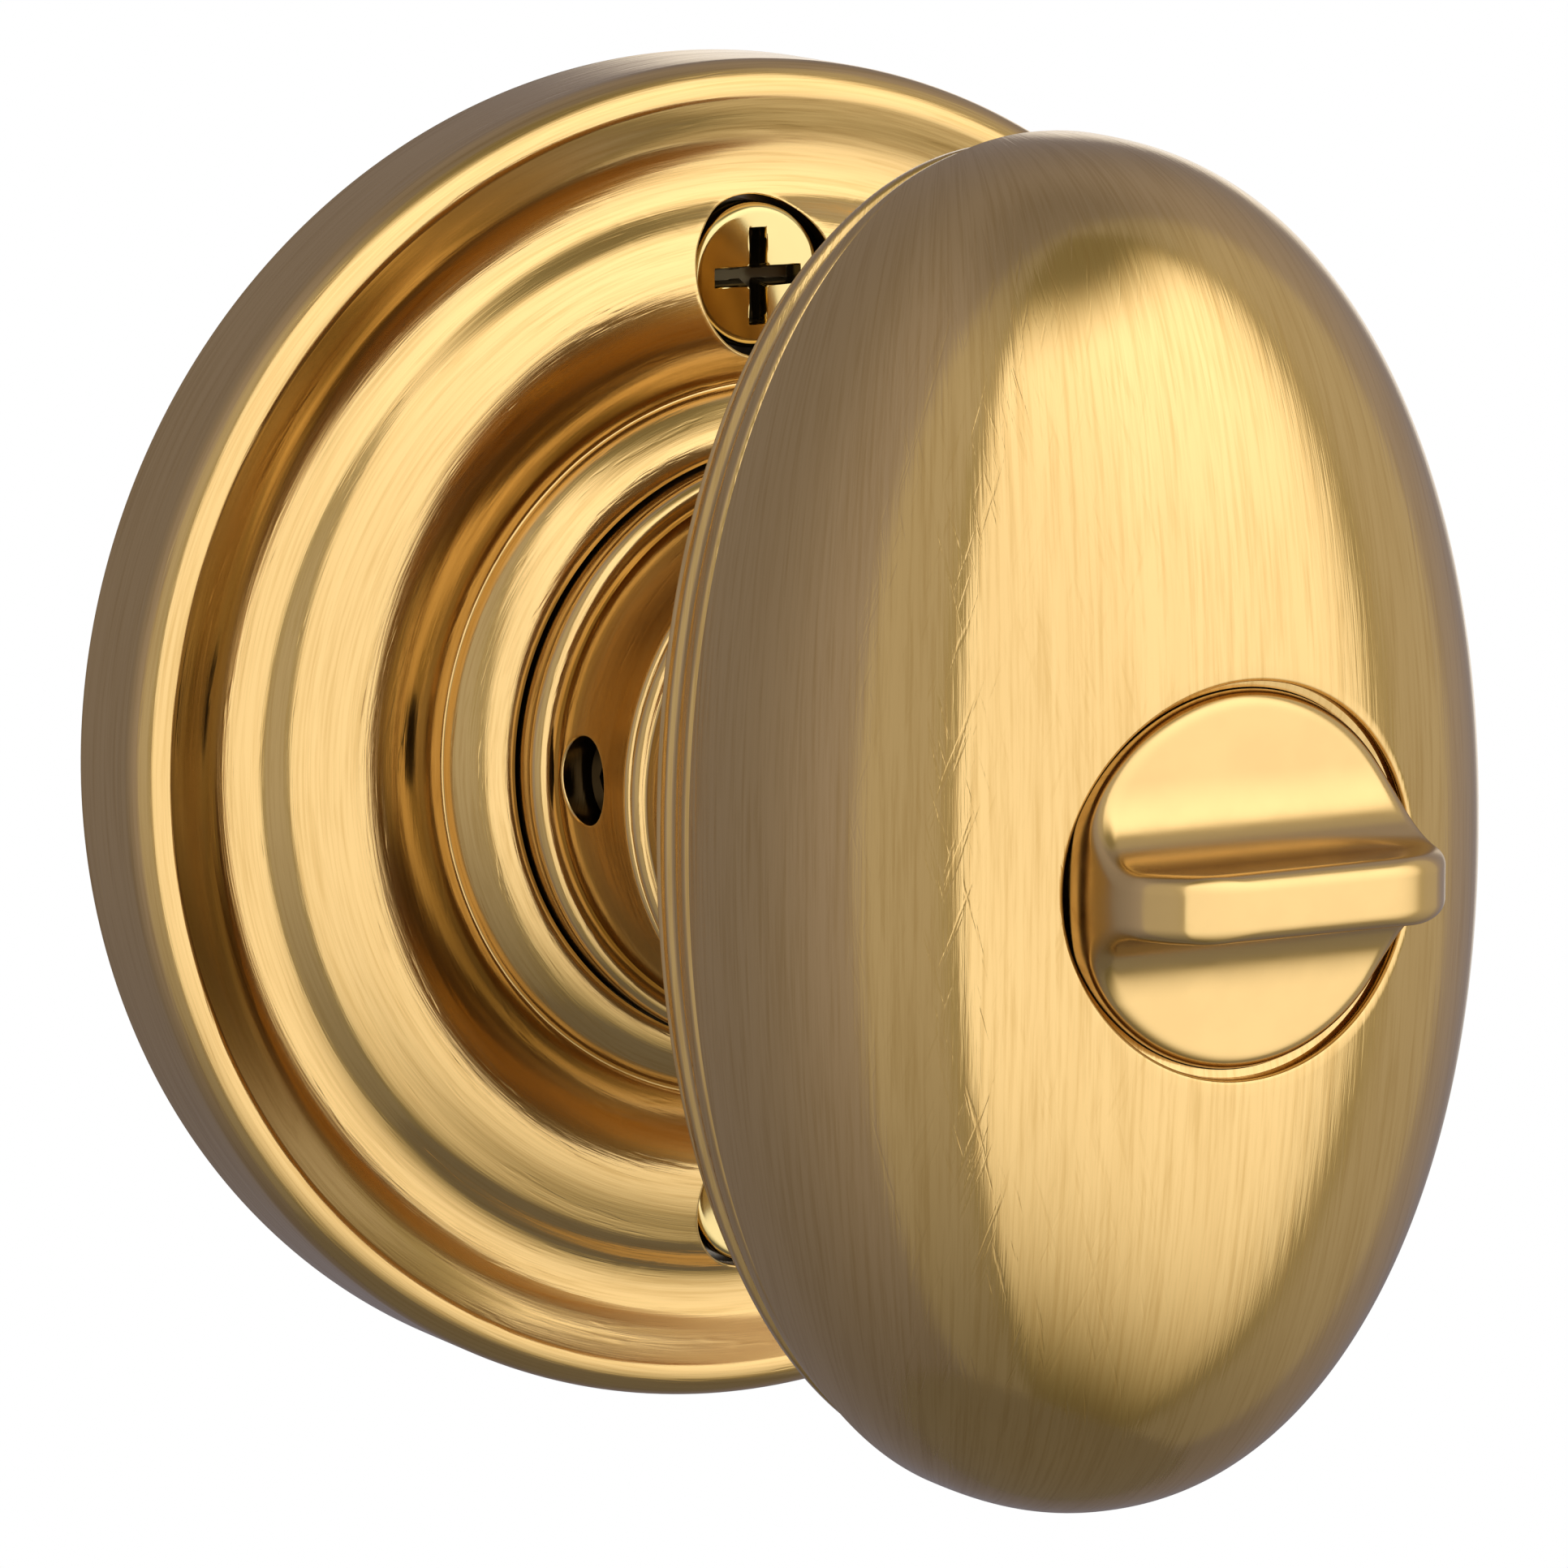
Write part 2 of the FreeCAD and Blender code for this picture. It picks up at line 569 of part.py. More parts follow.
def turn_piece():
    """Plug with a straight grip bar: two concave scoops are taken out of a round bar."""
    plug = rod(TURN_R, PLUG_BACK_H, GRIP_TOP_H)
    reach = TURN_R + 1
    shoulder = GRIP_SHOULDER_H
    half = GRIP_TOP_HALF_LENGTH
    knee_x = (half + TURN_R) / 2 + 0.5
    knee_h = (shoulder + GRIP_TOP_H) / 2 + 0.9
    side = [(-reach, PLUG_BACK_H), (reach, PLUG_BACK_H), (reach, shoulder), (TURN_R, shoulder)]
    right = Part.Arc(at(TURN_R, shoulder), at(knee_x, knee_h), at(half, GRIP_TOP_H)).toShape()
    left = Part.Arc(at(-half, GRIP_TOP_H), at(-knee_x, knee_h), at(-TURN_R, shoulder)).toShape()
    edges = lines(side) + [right, line((half, GRIP_TOP_H), (-half, GRIP_TOP_H)), left]
    edges += lines([(-TURN_R, shoulder), (-reach, shoulder), (-reach, PLUG_BACK_H)])
    slab = Part.Face(Part.Wire(edges)).extrude(Vector(0, 0, 2 * reach))
    slab.translate(Vector(0, 0, -reach))
    grip = plug.common(slab)
    for side in (1, -1):
        grip = grip.cut(scoop(side, reach))
    stem = rod(STEM_R, STEM_END_H + CLIP_T + SEAT, PLUG_BACK_H)
    socket = rod(SHAFT_R, STEM_END_H - 1, PLUG_BACK_H - 1)
    return fuse(grip, stem).cut(socket)


def scoop(side, reach):
    """Space beside the grip bar: flat floor, quarter-round fillet and upright wall."""
    wall_z = GRIP_HALF_THICK
    floor_h = TURN_FACE_H
    top_h = GRIP_TOP_H + 1
    middle = SCOOP_R * (1 - math.sqrt(0.5))

    def point(z, h):
        return Vector(-reach, -h, side * z)

    fillet = Part.Arc(
        point(wall_z, floor_h + SCOOP_R),
        point(wall_z + middle, floor_h + middle),
        point(wall_z + SCOOP_R, floor_h),
    ).toShape()
    corners = [point(wall_z + SCOOP_R, floor_h), point(reach, floor_h), point(reach, top_h), point(wall_z, top_h)]
    corners.append(point(wall_z, floor_h + SCOOP_R))
    straight = [Part.makeLine(a, b) for a, b in zip(corners, corners[1:])]
    return Part.Face(Part.Wire([fillet] + straight)).extrude(Vector(2 * reach, 0, 0))


def turn_shaft():
    shaft = rod(SHAFT_R, SHAFT_REAR_H, PLUG_BACK_H - 1)
    shaft = shaft.cut(ring(SHAFT_R - CLIP_GROOVE, SHAFT_R + 1, STEM_END_H, STEM_END_H + CLIP_T))
    slot = block(2 * SHAFT_R + 1, BLADE_THICK, SHAFT_REAR_H - 1, SHAFT_REAR_H + BLADE_GRIP)
    return shaft.cut(slot)


def turn_clip():
    """E-shaped clip in the shaft's groove that keeps the turn in its bush."""
    clip = ring(SHAFT_R - CLIP_GROOVE, CORE_BORE_R - SLIP, STEM_END_H, STEM_END_H + CLIP_T)
    mouth = block(CORE_R, 2 * (SHAFT_R - CLIP_GROOVE), STEM_END_H - 1, STEM_END_H + CLIP_T + 1, x=CORE_R / 2)
    return clip.cut(mouth)


def turn_blade():
    """Flat bar that carries the turn's motion through the hollow spindle to the latch."""
    return block(BLADE_WIDE, BLADE_THICK, -BLADE_REACH, SHAFT_REAR_H + BLADE_GRIP)


# ---- all nodes ----------------------------------------------------------------------------------
NODES = {
    "rose_cover": rose_cover,
    "rose_liner": rose_liner,
    "hub_bush": hub_bush,
    "mounting_screws": mounting_screws,
    "stop_pins": stop_pins,
    "spring_cup": spring_cup,
    "cup_rivets": cup_rivets,
    "return_spring": return_spring,
    "drive_cam": drive_cam,
    "knob_hub": knob_hub,
    "retaining_ring": retaining_ring,
    "thrust_washer": thrust_washer,
    "spindle": spindle,
    "knob_neck": knob_neck,
    "neck_set_screw": neck_set_screw,
    "neck_nut": neck_nut,
    "neck_slip_ring": neck_slip_ring,
    "knob_front_shell": knob_front_shell,
    "knob_rear_shell": knob_rear_shell,
    "knob_core": knob_core,
    "turn_guide_cup": turn_guide_cup,
    "turn_bush": turn_bush,
    "turn_wave_washer": turn_wave_washer,
    "turn_piece": turn_piece,
    "turn_shaft": turn_shaft,
    "turn_clip": turn_clip,
    "turn_blade": turn_blade,
}

os.makedirs("parts", exist_ok=True)
for name, make in NODES.items():
    shape = make()
    shape.exportStep(f"parts/{name}.step")
    print(name, "solids", len(shape.Solids), "volume", round(shape.Volume, 1), "valid", shape.isValid())
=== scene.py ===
"""Looks of a door knob's inside half: rosette, turned neck, oval knob and thumb turn, in brushed brass.

Shapes are worked out in millimetres and put into meshes in metres. As in the model, heights h are counted
from the door's face along the knob's axis, so a height h is at Y = -h, and +Z is up.
"""
import math

import bmesh
import bpy
import numpy as np
from mathutils import Matrix, Vector


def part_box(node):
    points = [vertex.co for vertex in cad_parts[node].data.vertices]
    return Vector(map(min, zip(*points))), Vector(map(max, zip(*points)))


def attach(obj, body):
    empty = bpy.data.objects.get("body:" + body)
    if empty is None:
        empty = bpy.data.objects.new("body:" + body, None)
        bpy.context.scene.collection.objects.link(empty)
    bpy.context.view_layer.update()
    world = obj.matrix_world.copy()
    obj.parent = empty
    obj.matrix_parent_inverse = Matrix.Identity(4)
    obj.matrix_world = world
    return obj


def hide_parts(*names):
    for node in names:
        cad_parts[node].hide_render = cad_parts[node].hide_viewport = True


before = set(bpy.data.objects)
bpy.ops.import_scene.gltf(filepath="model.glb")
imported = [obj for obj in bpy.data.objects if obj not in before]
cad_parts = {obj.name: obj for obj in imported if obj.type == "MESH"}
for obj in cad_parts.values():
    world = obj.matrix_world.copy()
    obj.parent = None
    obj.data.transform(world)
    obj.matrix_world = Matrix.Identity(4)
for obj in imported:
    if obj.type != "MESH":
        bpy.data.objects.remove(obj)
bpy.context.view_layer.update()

MM = 0.001


def corners(node):
    """Lowest and highest corner of a node in millimetres, with Y turned into height."""
    low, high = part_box(node)
    return Vector((low.x, -high.y, low.z)) / MM, Vector((high.x, -low.y, high.z)) / MM


# ---- sizes, in millimetres -----------------------------------------------------------------------
ROSE_R = corners("rose_cover")[1].x
COLLAR_H = corners("rose_cover")[1].y
ROSE_WALL = 1.2
CREST_RADIUS = 1.8
CREST_H = 7.1
GROOVE_H = 6.0
SWELL_H = 9.1
COLLAR_R = 18.6
COLLAR_FOOT_H = 8.1
OPENING_R = 15.65
SCREW_PLACE = 24.0
SCREW_SEAT_R = 4.1

NECK_FOOT_R = 15.5
NECK_FOOT_H, NECK_TOP_H = 9.9, 31.4
NECK_WAIST_R = 14.3
NECK_TOP_R = 17.0
NECK_BORE_R = 10.05
KEY_HOLE_R = 2.25
KEY_HOLE_H = 15.25

KNOB_HALF_WIDTH = corners("knob_front_shell")[1].x
KNOB_HALF_HEIGHT = corners("knob_front_shell")[1].z
RIM_H = corners("knob_front_shell")[0].y
DOME_DEPTH = 19.6
DOME_POWER = 2.75           # 2 would be an ellipse, more is squarer at the shoulder
OUTLINE_POWER = 2.12        # the same for the knob's outline
SHELL_WALL = 1.6
STEP_DEPTH = 0.35
SPIGOT_R = 12.0

TURN_R = corners("turn_piece")[1].x
TURN_HOLE_R = TURN_R + 0.42
TURN_LEDGE_R = TURN_R + 0.06  # ledge in the hole, just below its lip
TURN_LEDGE_DEPTH = 0.8
TURN_BACK_H = 51.0
TURN_FACE_H = 55.9
GRIP_TOP_H = corners("turn_piece")[1].y
GRIP_HALF_THICK = 1.65
GRIP_HALF_LENGTH = 5.9
GRIP_SHOULDER_H = 58.2
SCOOP_R = 3.6
STEM_R = 4.0
STEM_END_H = corners("turn_piece")[0].y

HEAD_R = 3.75
HEAD_SEAT_H = 4.2
HEAD_H = 3.4
SHANK_R = 2.1
SHANK_END_H = corners("mounting_screws")[0].y
THREAD_PITCH = 0.8
RECESS_LONG, RECESS_WIDE, RECESS_DEEP = 5.0, 1.0, 1.5


# ---- curves and grids ----------------------------------------------------------------------------
def spline(points, count):
    """Natural cubic spline by chord length: each span's cubic carries slope and bend on into the next."""
    p = np.asarray(points, float)
    s = np.concatenate([[0], np.cumsum(np.linalg.norm(np.diff(p, axis=0), axis=1))])
    span = np.diff(s)
    rise = np.diff(p, axis=0) / span[:, None]
    rows = np.eye(len(p))
    inner = np.arange(1, len(p) - 1)
    rows[inner, inner - 1] = span[:-1]
    rows[inner, inner] = 2 * (span[:-1] + span[1:])
    rows[inner, inner + 1] = span[1:]
    right = np.zeros_like(p)
    right[1:-1] = 6 * np.diff(rise, axis=0)
    bend = np.linalg.solve(rows, right)
    t = np.linspace(0, s[-1], count)
    k = np.clip(np.searchsorted(s, t, side="right") - 1, 0, len(span) - 1)
    w = span[k][:, None]
    u = (t - s[k])[:, None]
    v = w - u
    cubic = (bend[k] * v**3 + bend[k + 1] * u**3) / (6 * w)
    return cubic + (p[k] / w - bend[k] * w / 6) * v + (p[k + 1] / w - bend[k + 1] * w / 6) * u


def straight(a, b, count):
    """Evenly spaced points from a to b."""
    return np.linspace(a, b, count)


def arc(centre, radius, start_deg, end_deg, count):
    """Points on a circle: centre + radius times (cos, sin) of an angle that grows evenly."""
    angle = np.radians(np.linspace(start_deg, end_deg, count))
    return np.asarray(centre) + radius * np.stack([np.cos(angle), np.sin(angle)], 1)


def trimmed(path, length):
    """The path without its last stretch of that length."""
    back = np.cumsum(np.linalg.norm(np.diff(path[::-1], axis=0), axis=1))
    keep = len(path) - 1 - int(np.searchsorted(back, length))
    return path[:max(keep, 2)]


def joined(paths, soft, count=7):
    """Paths end to end, each corner made a quadratic curve that leaves and meets them `soft` away."""
    done = paths[0]
    for path in paths[1:]:
        corner = path[0]
        done = trimmed(done, soft)
        path = trimmed(path[::-1], soft)[::-1]
        t = np.linspace(0, 1, count + 2)[1:-1, None]
        bend = (1 - t) ** 2 * done[-1] + 2 * t * (1 - t) * corner + t**2 * path[0]
        done = np.concatenate([done, bend, path])
    return done


def turned_place(section, columns):
    """Profile of (radius, height) pairs carried round the axis: (r cos a, -h, r sin a)."""
    angle = np.arange(columns) * (2 * math.pi / columns)
    r = section[:, 0, None]
    h = section[:, 1, None] + 0 * angle
    return np.stack([r * np.cos(angle), -h, r * np.sin(angle)], -1)


def quads_between(ids, across):
    """Quads between neighbouring rows of corner numbers; across holds each corner's neighbour in its row."""
    return np.stack([ids[:-1], ids[1:], across[1:], across[:-1]], -1)


def grid_faces(rows, columns, start=0, closed=True):
    """Corner numbers of the quads of a rows by columns grid, whose columns close into a ring unless told."""
    ids = start + np.arange(rows * columns).reshape(rows, columns)
    if closed:
        return quads_between(ids, np.roll(ids, -1, axis=1))
    return quads_between(ids[:, :-1], ids[:, 1:])


def strip_faces(first, second):
    """Quads between two rings of corner numbers of the same length."""
    return np.stack([first, np.roll(first, -1), np.roll(second, -1), second], -1)


def wall_faces(outer, inner):
    """Faces of two matching ring grids of corner numbers, and the strips that close them at both ends."""
    skin = [quads_between(ids, np.roll(ids, -1, 1)) for ids in (outer, inner)]
    return skin, [strip_faces(outer[0], inner[0]), strip_faces(outer[-1], inner[-1])]


def make_piece(name, points, faces, body, material, stands_for, crease_deg=40.0):
    """Mesh of points in millimetres and quads, facing outwards, smooth but for creases, riding on a body."""
    mesh = bpy.data.meshes.new(name)
    points = np.asarray(points, float).reshape(-1, 3) * MM
    quads = np.concatenate([np.asarray(f).reshape(-1, 4) for f in faces])
    mesh.from_pydata(points.tolist(), [], quads.tolist())
    work = bmesh.new()
    work.from_mesh(mesh)
    bmesh.ops.remove_doubles(work, verts=work.verts, dist=1e-7)
    bmesh.ops.dissolve_degenerate(work, edges=work.edges, dist=1e-8)
    bmesh.ops.recalc_face_normals(work, faces=work.faces)
    work.to_mesh(mesh)
    work.free()
    mesh.shade_smooth()
    mesh.set_sharp_from_angle(angle=math.radians(crease_deg))
    piece = bpy.data.objects.new(name, mesh)
    bpy.context.scene.collection.objects.link(piece)
    mesh.materials.append(material)
    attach(piece, body)
    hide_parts(*stands_for)
    return piece


def drilled_sheet(outer, inner, columns, holes):
    """Turned wall with round holes.

    outer and inner are matching profiles. For each hole a block of quads is left out of both skins, and rings
    run from the block's border to the hole's circle, round its lip, through the wall and out to the border
    again: ring = border + share * (circle - border), each point laid on the skin by the hole's own rule.
    """
    rows = len(outer)
    places = np.concatenate([turned_place(outer, columns), turned_place(inner, columns)])
    ids = np.arange(2 * rows * columns).reshape(2, rows, columns)
    skins, ends = wall_faces(ids[0], ids[1])
    keep = np.ones((rows - 1, columns), bool)
    points = [places.reshape(-1, 3)]
    faces = list(ends)
    total = 2 * rows * columns
    for hole in holes:
        first, last = hole["rows"]
        middle, reach = hole["column"], hole["reach"]
        span = (middle + np.arange(-reach, reach + 1)) % columns
        keep[first:last, span[:-1]] = False
        loop = [(first, c) for c in span[:-1]] + [(r, span[-1]) for r in range(first, last)]
        loop += [(last, c) for c in span[:0:-1]] + [(r, span[0]) for r in range(last, first, -1)]
        loop = np.array(loop)
        border = [ids[side][loop[:, 0], loop[:, 1]] for side in (0, 1)]
        flat = hole["flatten"](points[0][border[0]])
        centre = np.array(hole["centre"])
        ray = (flat - centre) / np.linalg.norm(flat - centre, axis=1)[:, None]
        rings = []
        lip_edge = centre + ray * (hole["radius"] + hole["lip"])
        wall = centre + ray * hole["radius"]
        for share in np.linspace(0, 1, hole["loops"])[1:]:
            rings.append((flat + share * (lip_edge - flat), 0.0))
        for a in np.radians([20, 40, 60, 80, 90]):
            ring = centre + ray * (hole["radius"] + hole["lip"] * (1 - math.sin(a)))
            rings.append((ring, hole["lip"] / hole["depth"] * (1 - math.cos(a))))
        rings += [(wall, share) for share in (0.5, 1.0)]
        for share in np.linspace(1, 0, 5)[1:-1]:
            rings.append((flat + share * (wall - flat), 1.0))
        before = border[0]
        for ring, depth in rings:
            points.append(hole["place"](ring, depth))
            here = total + np.arange(len(ring))
            total += len(ring)
            faces.append(strip_faces(before, here))
            before = here
        faces.append(strip_faces(before, border[1]))
    faces += [skin[keep] for skin in skins]
    return np.concatenate(points), faces


# ---- finishes ------------------------------------------------------------------------------------
BRASS = (0.930, 0.640, 0.275)
BRASS_DEEP = (0.640, 0.390, 0.120)
POLISHED_BRASS = (0.930, 0.730, 0.330)
CAST_BRASS = (0.700, 0.500, 0.220)
ZINC = (0.620, 0.620, 0.600)
NYLON = (0.780, 0.760, 0.700)
BRUSH_AXIS_H = 27.0         # upright axis that the knob is turned about on the brushing wheel
BRUSH_ARM = 22.0            # mean distance of its skin from that axis
# black of the oxide finish, also used as painted shade in the screws' driver recess
OXIDE_AND_SHADE_BLACK = (0.040, 0.032, 0.024)
PAINTED_MIRROR_SHADE = 0.42       # painted shade: share by which a finish's colour is darkened where glossy rays see it


class Graph:
    """Short names for adding nodes to a node tree and joining them."""

    def __init__(self, tree):
        self.tree = tree
        self.nodes = tree.nodes
        self.nodes.clear()

    def add(self, kind, inputs=(), **settings):
        node = self.nodes.new(kind)
        for key, value in settings.items():
            setattr(node, key, value)
        for key, value in dict(inputs).items():
            self.feed(node.inputs[key], value)
        return node

    def feed(self, socket, value):
        if isinstance(value, bpy.types.NodeSocket):
            self.tree.links.new(value, socket)
        else:
            socket.default_value = value

    def math(self, operation, a, b=0.0, clamp=False):
        node = self.add("ShaderNodeMath", operation=operation, use_clamp=clamp)
        for socket, value in zip(node.inputs, (a, b)):
            self.feed(socket, value)
        return node.outputs[0]

    def times(self, a, b):
        return self.math("MULTIPLY", a, b)

    def vector(self, x, y, z):
        return self.add("ShaderNodeCombineXYZ", {0: x, 1: y, 2: z}).outputs[0]

    def split(self, vector):
        return self.add("ShaderNodeSeparateXYZ", {"Vector": vector}).outputs

    def ramp(self, value, low, high, from_value=0.0, to_value=1.0):
        """Value taken from low..high to from_value..to_value, clamped, with eased ends."""
        node = self.add("ShaderNodeMapRange", clamp=True)
        node.interpolation_type = "SMOOTHSTEP"
        for key, number in zip(("Value", "From Min", "From Max", "To Min", "To Max"),
                               (value, low, high, from_value, to_value)):
            self.feed(node.inputs[key], number)
        return node.outputs["Result"]

    def mix(self, factor, a, b):
        node = self.add("ShaderNodeMix", data_type="RGBA")
        self.feed(node.inputs[0], factor)
        self.feed(node.inputs[6], a)
        self.feed(node.inputs[7], b)
        return node.outputs[2]

    def noise(self, vector, scale, detail=2.0, roughness=0.5):
        values = {"Vector": vector, "Scale": scale, "Detail": detail, "Roughness": roughness}
        return self.add("ShaderNodeTexNoise", values).outputs["Fac"]


def new_group(name, inputs, outputs):
    """Node group with float inputs and the named outputs, and its graph with both end nodes."""
    group = bpy.data.node_groups.new(name, "ShaderNodeTree")
    for key, value in inputs.items():
        socket = group.interface.new_socket(key, in_out="INPUT", socket_type="NodeSocketFloat")
        socket.default_value = value
    for key, kind in outputs.items():
        group.interface.new_socket(key, in_out="OUTPUT", socket_type=kind)
    graph = Graph(group)
    entry = graph.add("NodeGroupInput")
    leave = graph.add("NodeGroupOutput")
    return group, graph, entry.outputs, leave.inputs


def brushing_group(name, along):
    """Hairlines left by a brush, as noise drawn out along the stroke, with soft bands and deeper scratches.

    along is "turned", with strokes round the axis, or "drawn", with strokes up the piece and scratches that
    slant across them both ways, in a band left of the middle.
    """
    group, g, given, result = new_group(
        name,
        {"Lines per mm": 7.0, "Stroke": 1.0, "Depth": 1.0},
        {"Height": "NodeSocketFloat", "Streak": "NodeSocketFloat", "Band": "NodeSocketFloat"},
    )
    x, y, z = g.split(g.add("ShaderNodeTexCoord").outputs["Object"])
    per_metre = g.times(given["Lines per mm"], 1 / MM)
    if along == "turned":
        plan = g.math("ADD", g.times(x, x), g.times(z, z))
        radius = g.math("SQRT", g.math("MAXIMUM", plan, 1e-12))
        across = g.math("ADD", radius, g.times(y, 0.8))
        turn_x = g.math("DIVIDE", x, radius)
        turn_z = g.math("DIVIDE", z, radius)
        stretch = g.math("DIVIDE", 3.2, given["Stroke"])
        fine = g.vector(g.times(across, per_metre), g.times(turn_x, stretch), g.times(turn_z, stretch))
        lean = g.math("ADD", g.times(across, g.times(per_metre, 0.45)), g.times(turn_z, 3.0))
        slants = [g.vector(lean, g.times(turn_x, 5.0), g.times(turn_z, 5.0))]
        worn = 1.0
        wide = g.vector(g.times(across, 900.0), turn_x, turn_z)
    else:
        stretch = g.math("DIVIDE", 130.0, given["Stroke"])
        ahead = g.math("SUBTRACT", g.times(y, -1.0), BRUSH_AXIS_H * MM)
        round_axis = g.times(g.math("ARCTAN2", x, ahead), BRUSH_ARM * MM)
        fine = g.vector(g.times(round_axis, per_metre), g.times(y, stretch), g.times(z, stretch))
        slants = []
        for lean in (0.20, -0.26):
            leaning = g.math("ADD", round_axis, g.times(z, lean))
            fine_across = g.times(leaning, g.times(per_metre, 0.8))
            slants.append(g.vector(fine_across, g.times(y, 120.0), g.times(z, 200.0)))
        worn = g.times(g.ramp(round_axis, -1.0 * MM, -5.0 * MM), g.ramp(round_axis, -17.0 * MM, -11.0 * MM))
        wide = g.vector(g.times(round_axis, 700.0), g.times(y, 20.0), g.times(z, 20.0))
    fine_noise = g.noise(fine, 1.0, 3.0, 0.65)
    scratch_noise = g.noise(slants[0], 1.0, 2.0, 0.6)
    for slant in slants[1:]:
        scratch_noise = g.math("MAXIMUM", scratch_noise, g.noise(slant, 1.0, 2.0, 0.6))
    scratches = g.times(g.ramp(scratch_noise, 0.58, 0.72), worn)
    height = g.math("ADD", fine_noise, g.times(scratches, -0.42))
    streak = g.math("ADD", g.times(fine_noise, 0.8), g.times(scratches, 0.06), clamp=True)
    g.feed(result["Height"], g.times(height, given["Depth"]))
    g.feed(result["Streak"], streak)
    g.feed(result["Band"], g.noise(wide, 1.0, 2.0, 0.5))
    return group


def grain_group():
    """Even fine grain of tumbled, cast or moulded metal and plastic: two noises of different size."""
    group, g, given, result = new_group(
        "fine_grain", {"Grain per mm": 6.0, "Mottle per mm": 0.35},
        {"Height": "NodeSocketFloat", "Mottle": "NodeSocketFloat"},
    )
    place = g.add("ShaderNodeTexCoord").outputs["Object"]
    g.feed(result["Height"], g.noise(place, g.times(given["Grain per mm"], 1 / MM), 3.0, 0.6))
    g.feed(result["Mottle"], g.noise(place, g.times(given["Mottle per mm"], 1 / MM), 3.0, 0.5))
    return group


TURNED_BRUSHING = brushing_group("turned_brushing", "turned")
DRAWN_BRUSHING = brushing_group("drawn_brushing", "drawn")
FINE_GRAIN = grain_group()


def new_material(name):
    material = bpy.data.materials.new(name)
    material.use_nodes = True
    return material, Graph(material.node_tree)


def place_group(g, group, values):
    node = g.add("ShaderNodeGroup", node_tree=group)
    for key, value in values.items():
        node.inputs[key].default_value = value
    return node.outputs


def finish_material(g, colour, roughness, normal=None, metallic=1.0):
    values = {"Base Color": colour, "Roughness": roughness, "Metallic": metallic}
    shader = g.add("ShaderNodeBsdfPrincipled", values)
    if normal is not None:
        g.feed(shader.inputs["Normal"], normal)
    out = g.add("ShaderNodeOutputMaterial")
    g.feed(out.inputs["Surface"], shader.outputs[0])


def bump(g, height, depth_mm):
    return g.add("ShaderNodeBump", {"Height": height, "Distance": depth_mm * MM, "Strength": 1.0}).outputs[0]


def opaque(colour):
    return (*colour, 1.0)


def painted_shade_in_mirrors(g, colour, shade=PAINTED_MIRROR_SHADE):
    """The colour as it is, with painted shade in reflections: darker by the given share where a glossy ray
    meets it.
    """
    mirrored = g.add("ShaderNodeLightPath").outputs["Is Glossy Ray"]
    return g.mix(g.times(mirrored, shade), colour, (0, 0, 0, 1))


def brushed_brass(name, group, lines, stroke, roughness, depth_mm):
    """Brass brushed to a satin finish: hairline relief, with colour and gloss that vary from line to line."""
    material, g = new_material(name)
    marks = place_group(g, group, {"Lines per mm": lines, "Stroke": stroke, "Depth": 1.0})
    tone = g.ramp(marks["Streak"], 0.32, 0.60, 0.0, 0.48)
    colour = g.mix(tone, opaque(BRASS), opaque(BRASS_DEEP))
    colour = g.mix(g.ramp(marks["Band"], 0.35, 0.65, 0.0, 0.10), colour, opaque(BRASS_DEEP))
    gloss = g.math("ADD", g.ramp(marks["Streak"], 0.2, 0.8, roughness - 0.05, roughness + 0.07),
                   g.ramp(marks["Band"], 0.3, 0.7, -0.02, 0.02))
    # painted shade: the brass colour is darkened where another surface mirrors it
    finish_material(g, painted_shade_in_mirrors(g, colour), gloss, bump(g, marks["Height"], depth_mm))
    return material


def grained_metal(name, colour, deep, roughness, depth_mm, metallic=1.0, grain=6.0, mottle=0.35, spread=0.06):
    """Plain metal or plastic with a fine grain and a slight mottle in colour and gloss."""
    material, g = new_material(name)
    marks = place_group(g, FINE_GRAIN, {"Grain per mm": grain, "Mottle per mm": mottle})
    shade = g.mix(g.ramp(marks["Mottle"], 0.3, 0.7), opaque(colour), opaque(deep))
    gloss = g.ramp(marks["Mottle"], 0.3, 0.7, roughness - spread / 2, roughness + spread / 2)
    # painted shade: the colour is darkened where another surface mirrors it
    finish_material(g, painted_shade_in_mirrors(g, shade), gloss, bump(g, marks["Height"], depth_mm), metallic)
    return material


def darker(colour, share):
    return tuple(c * share for c in colour)


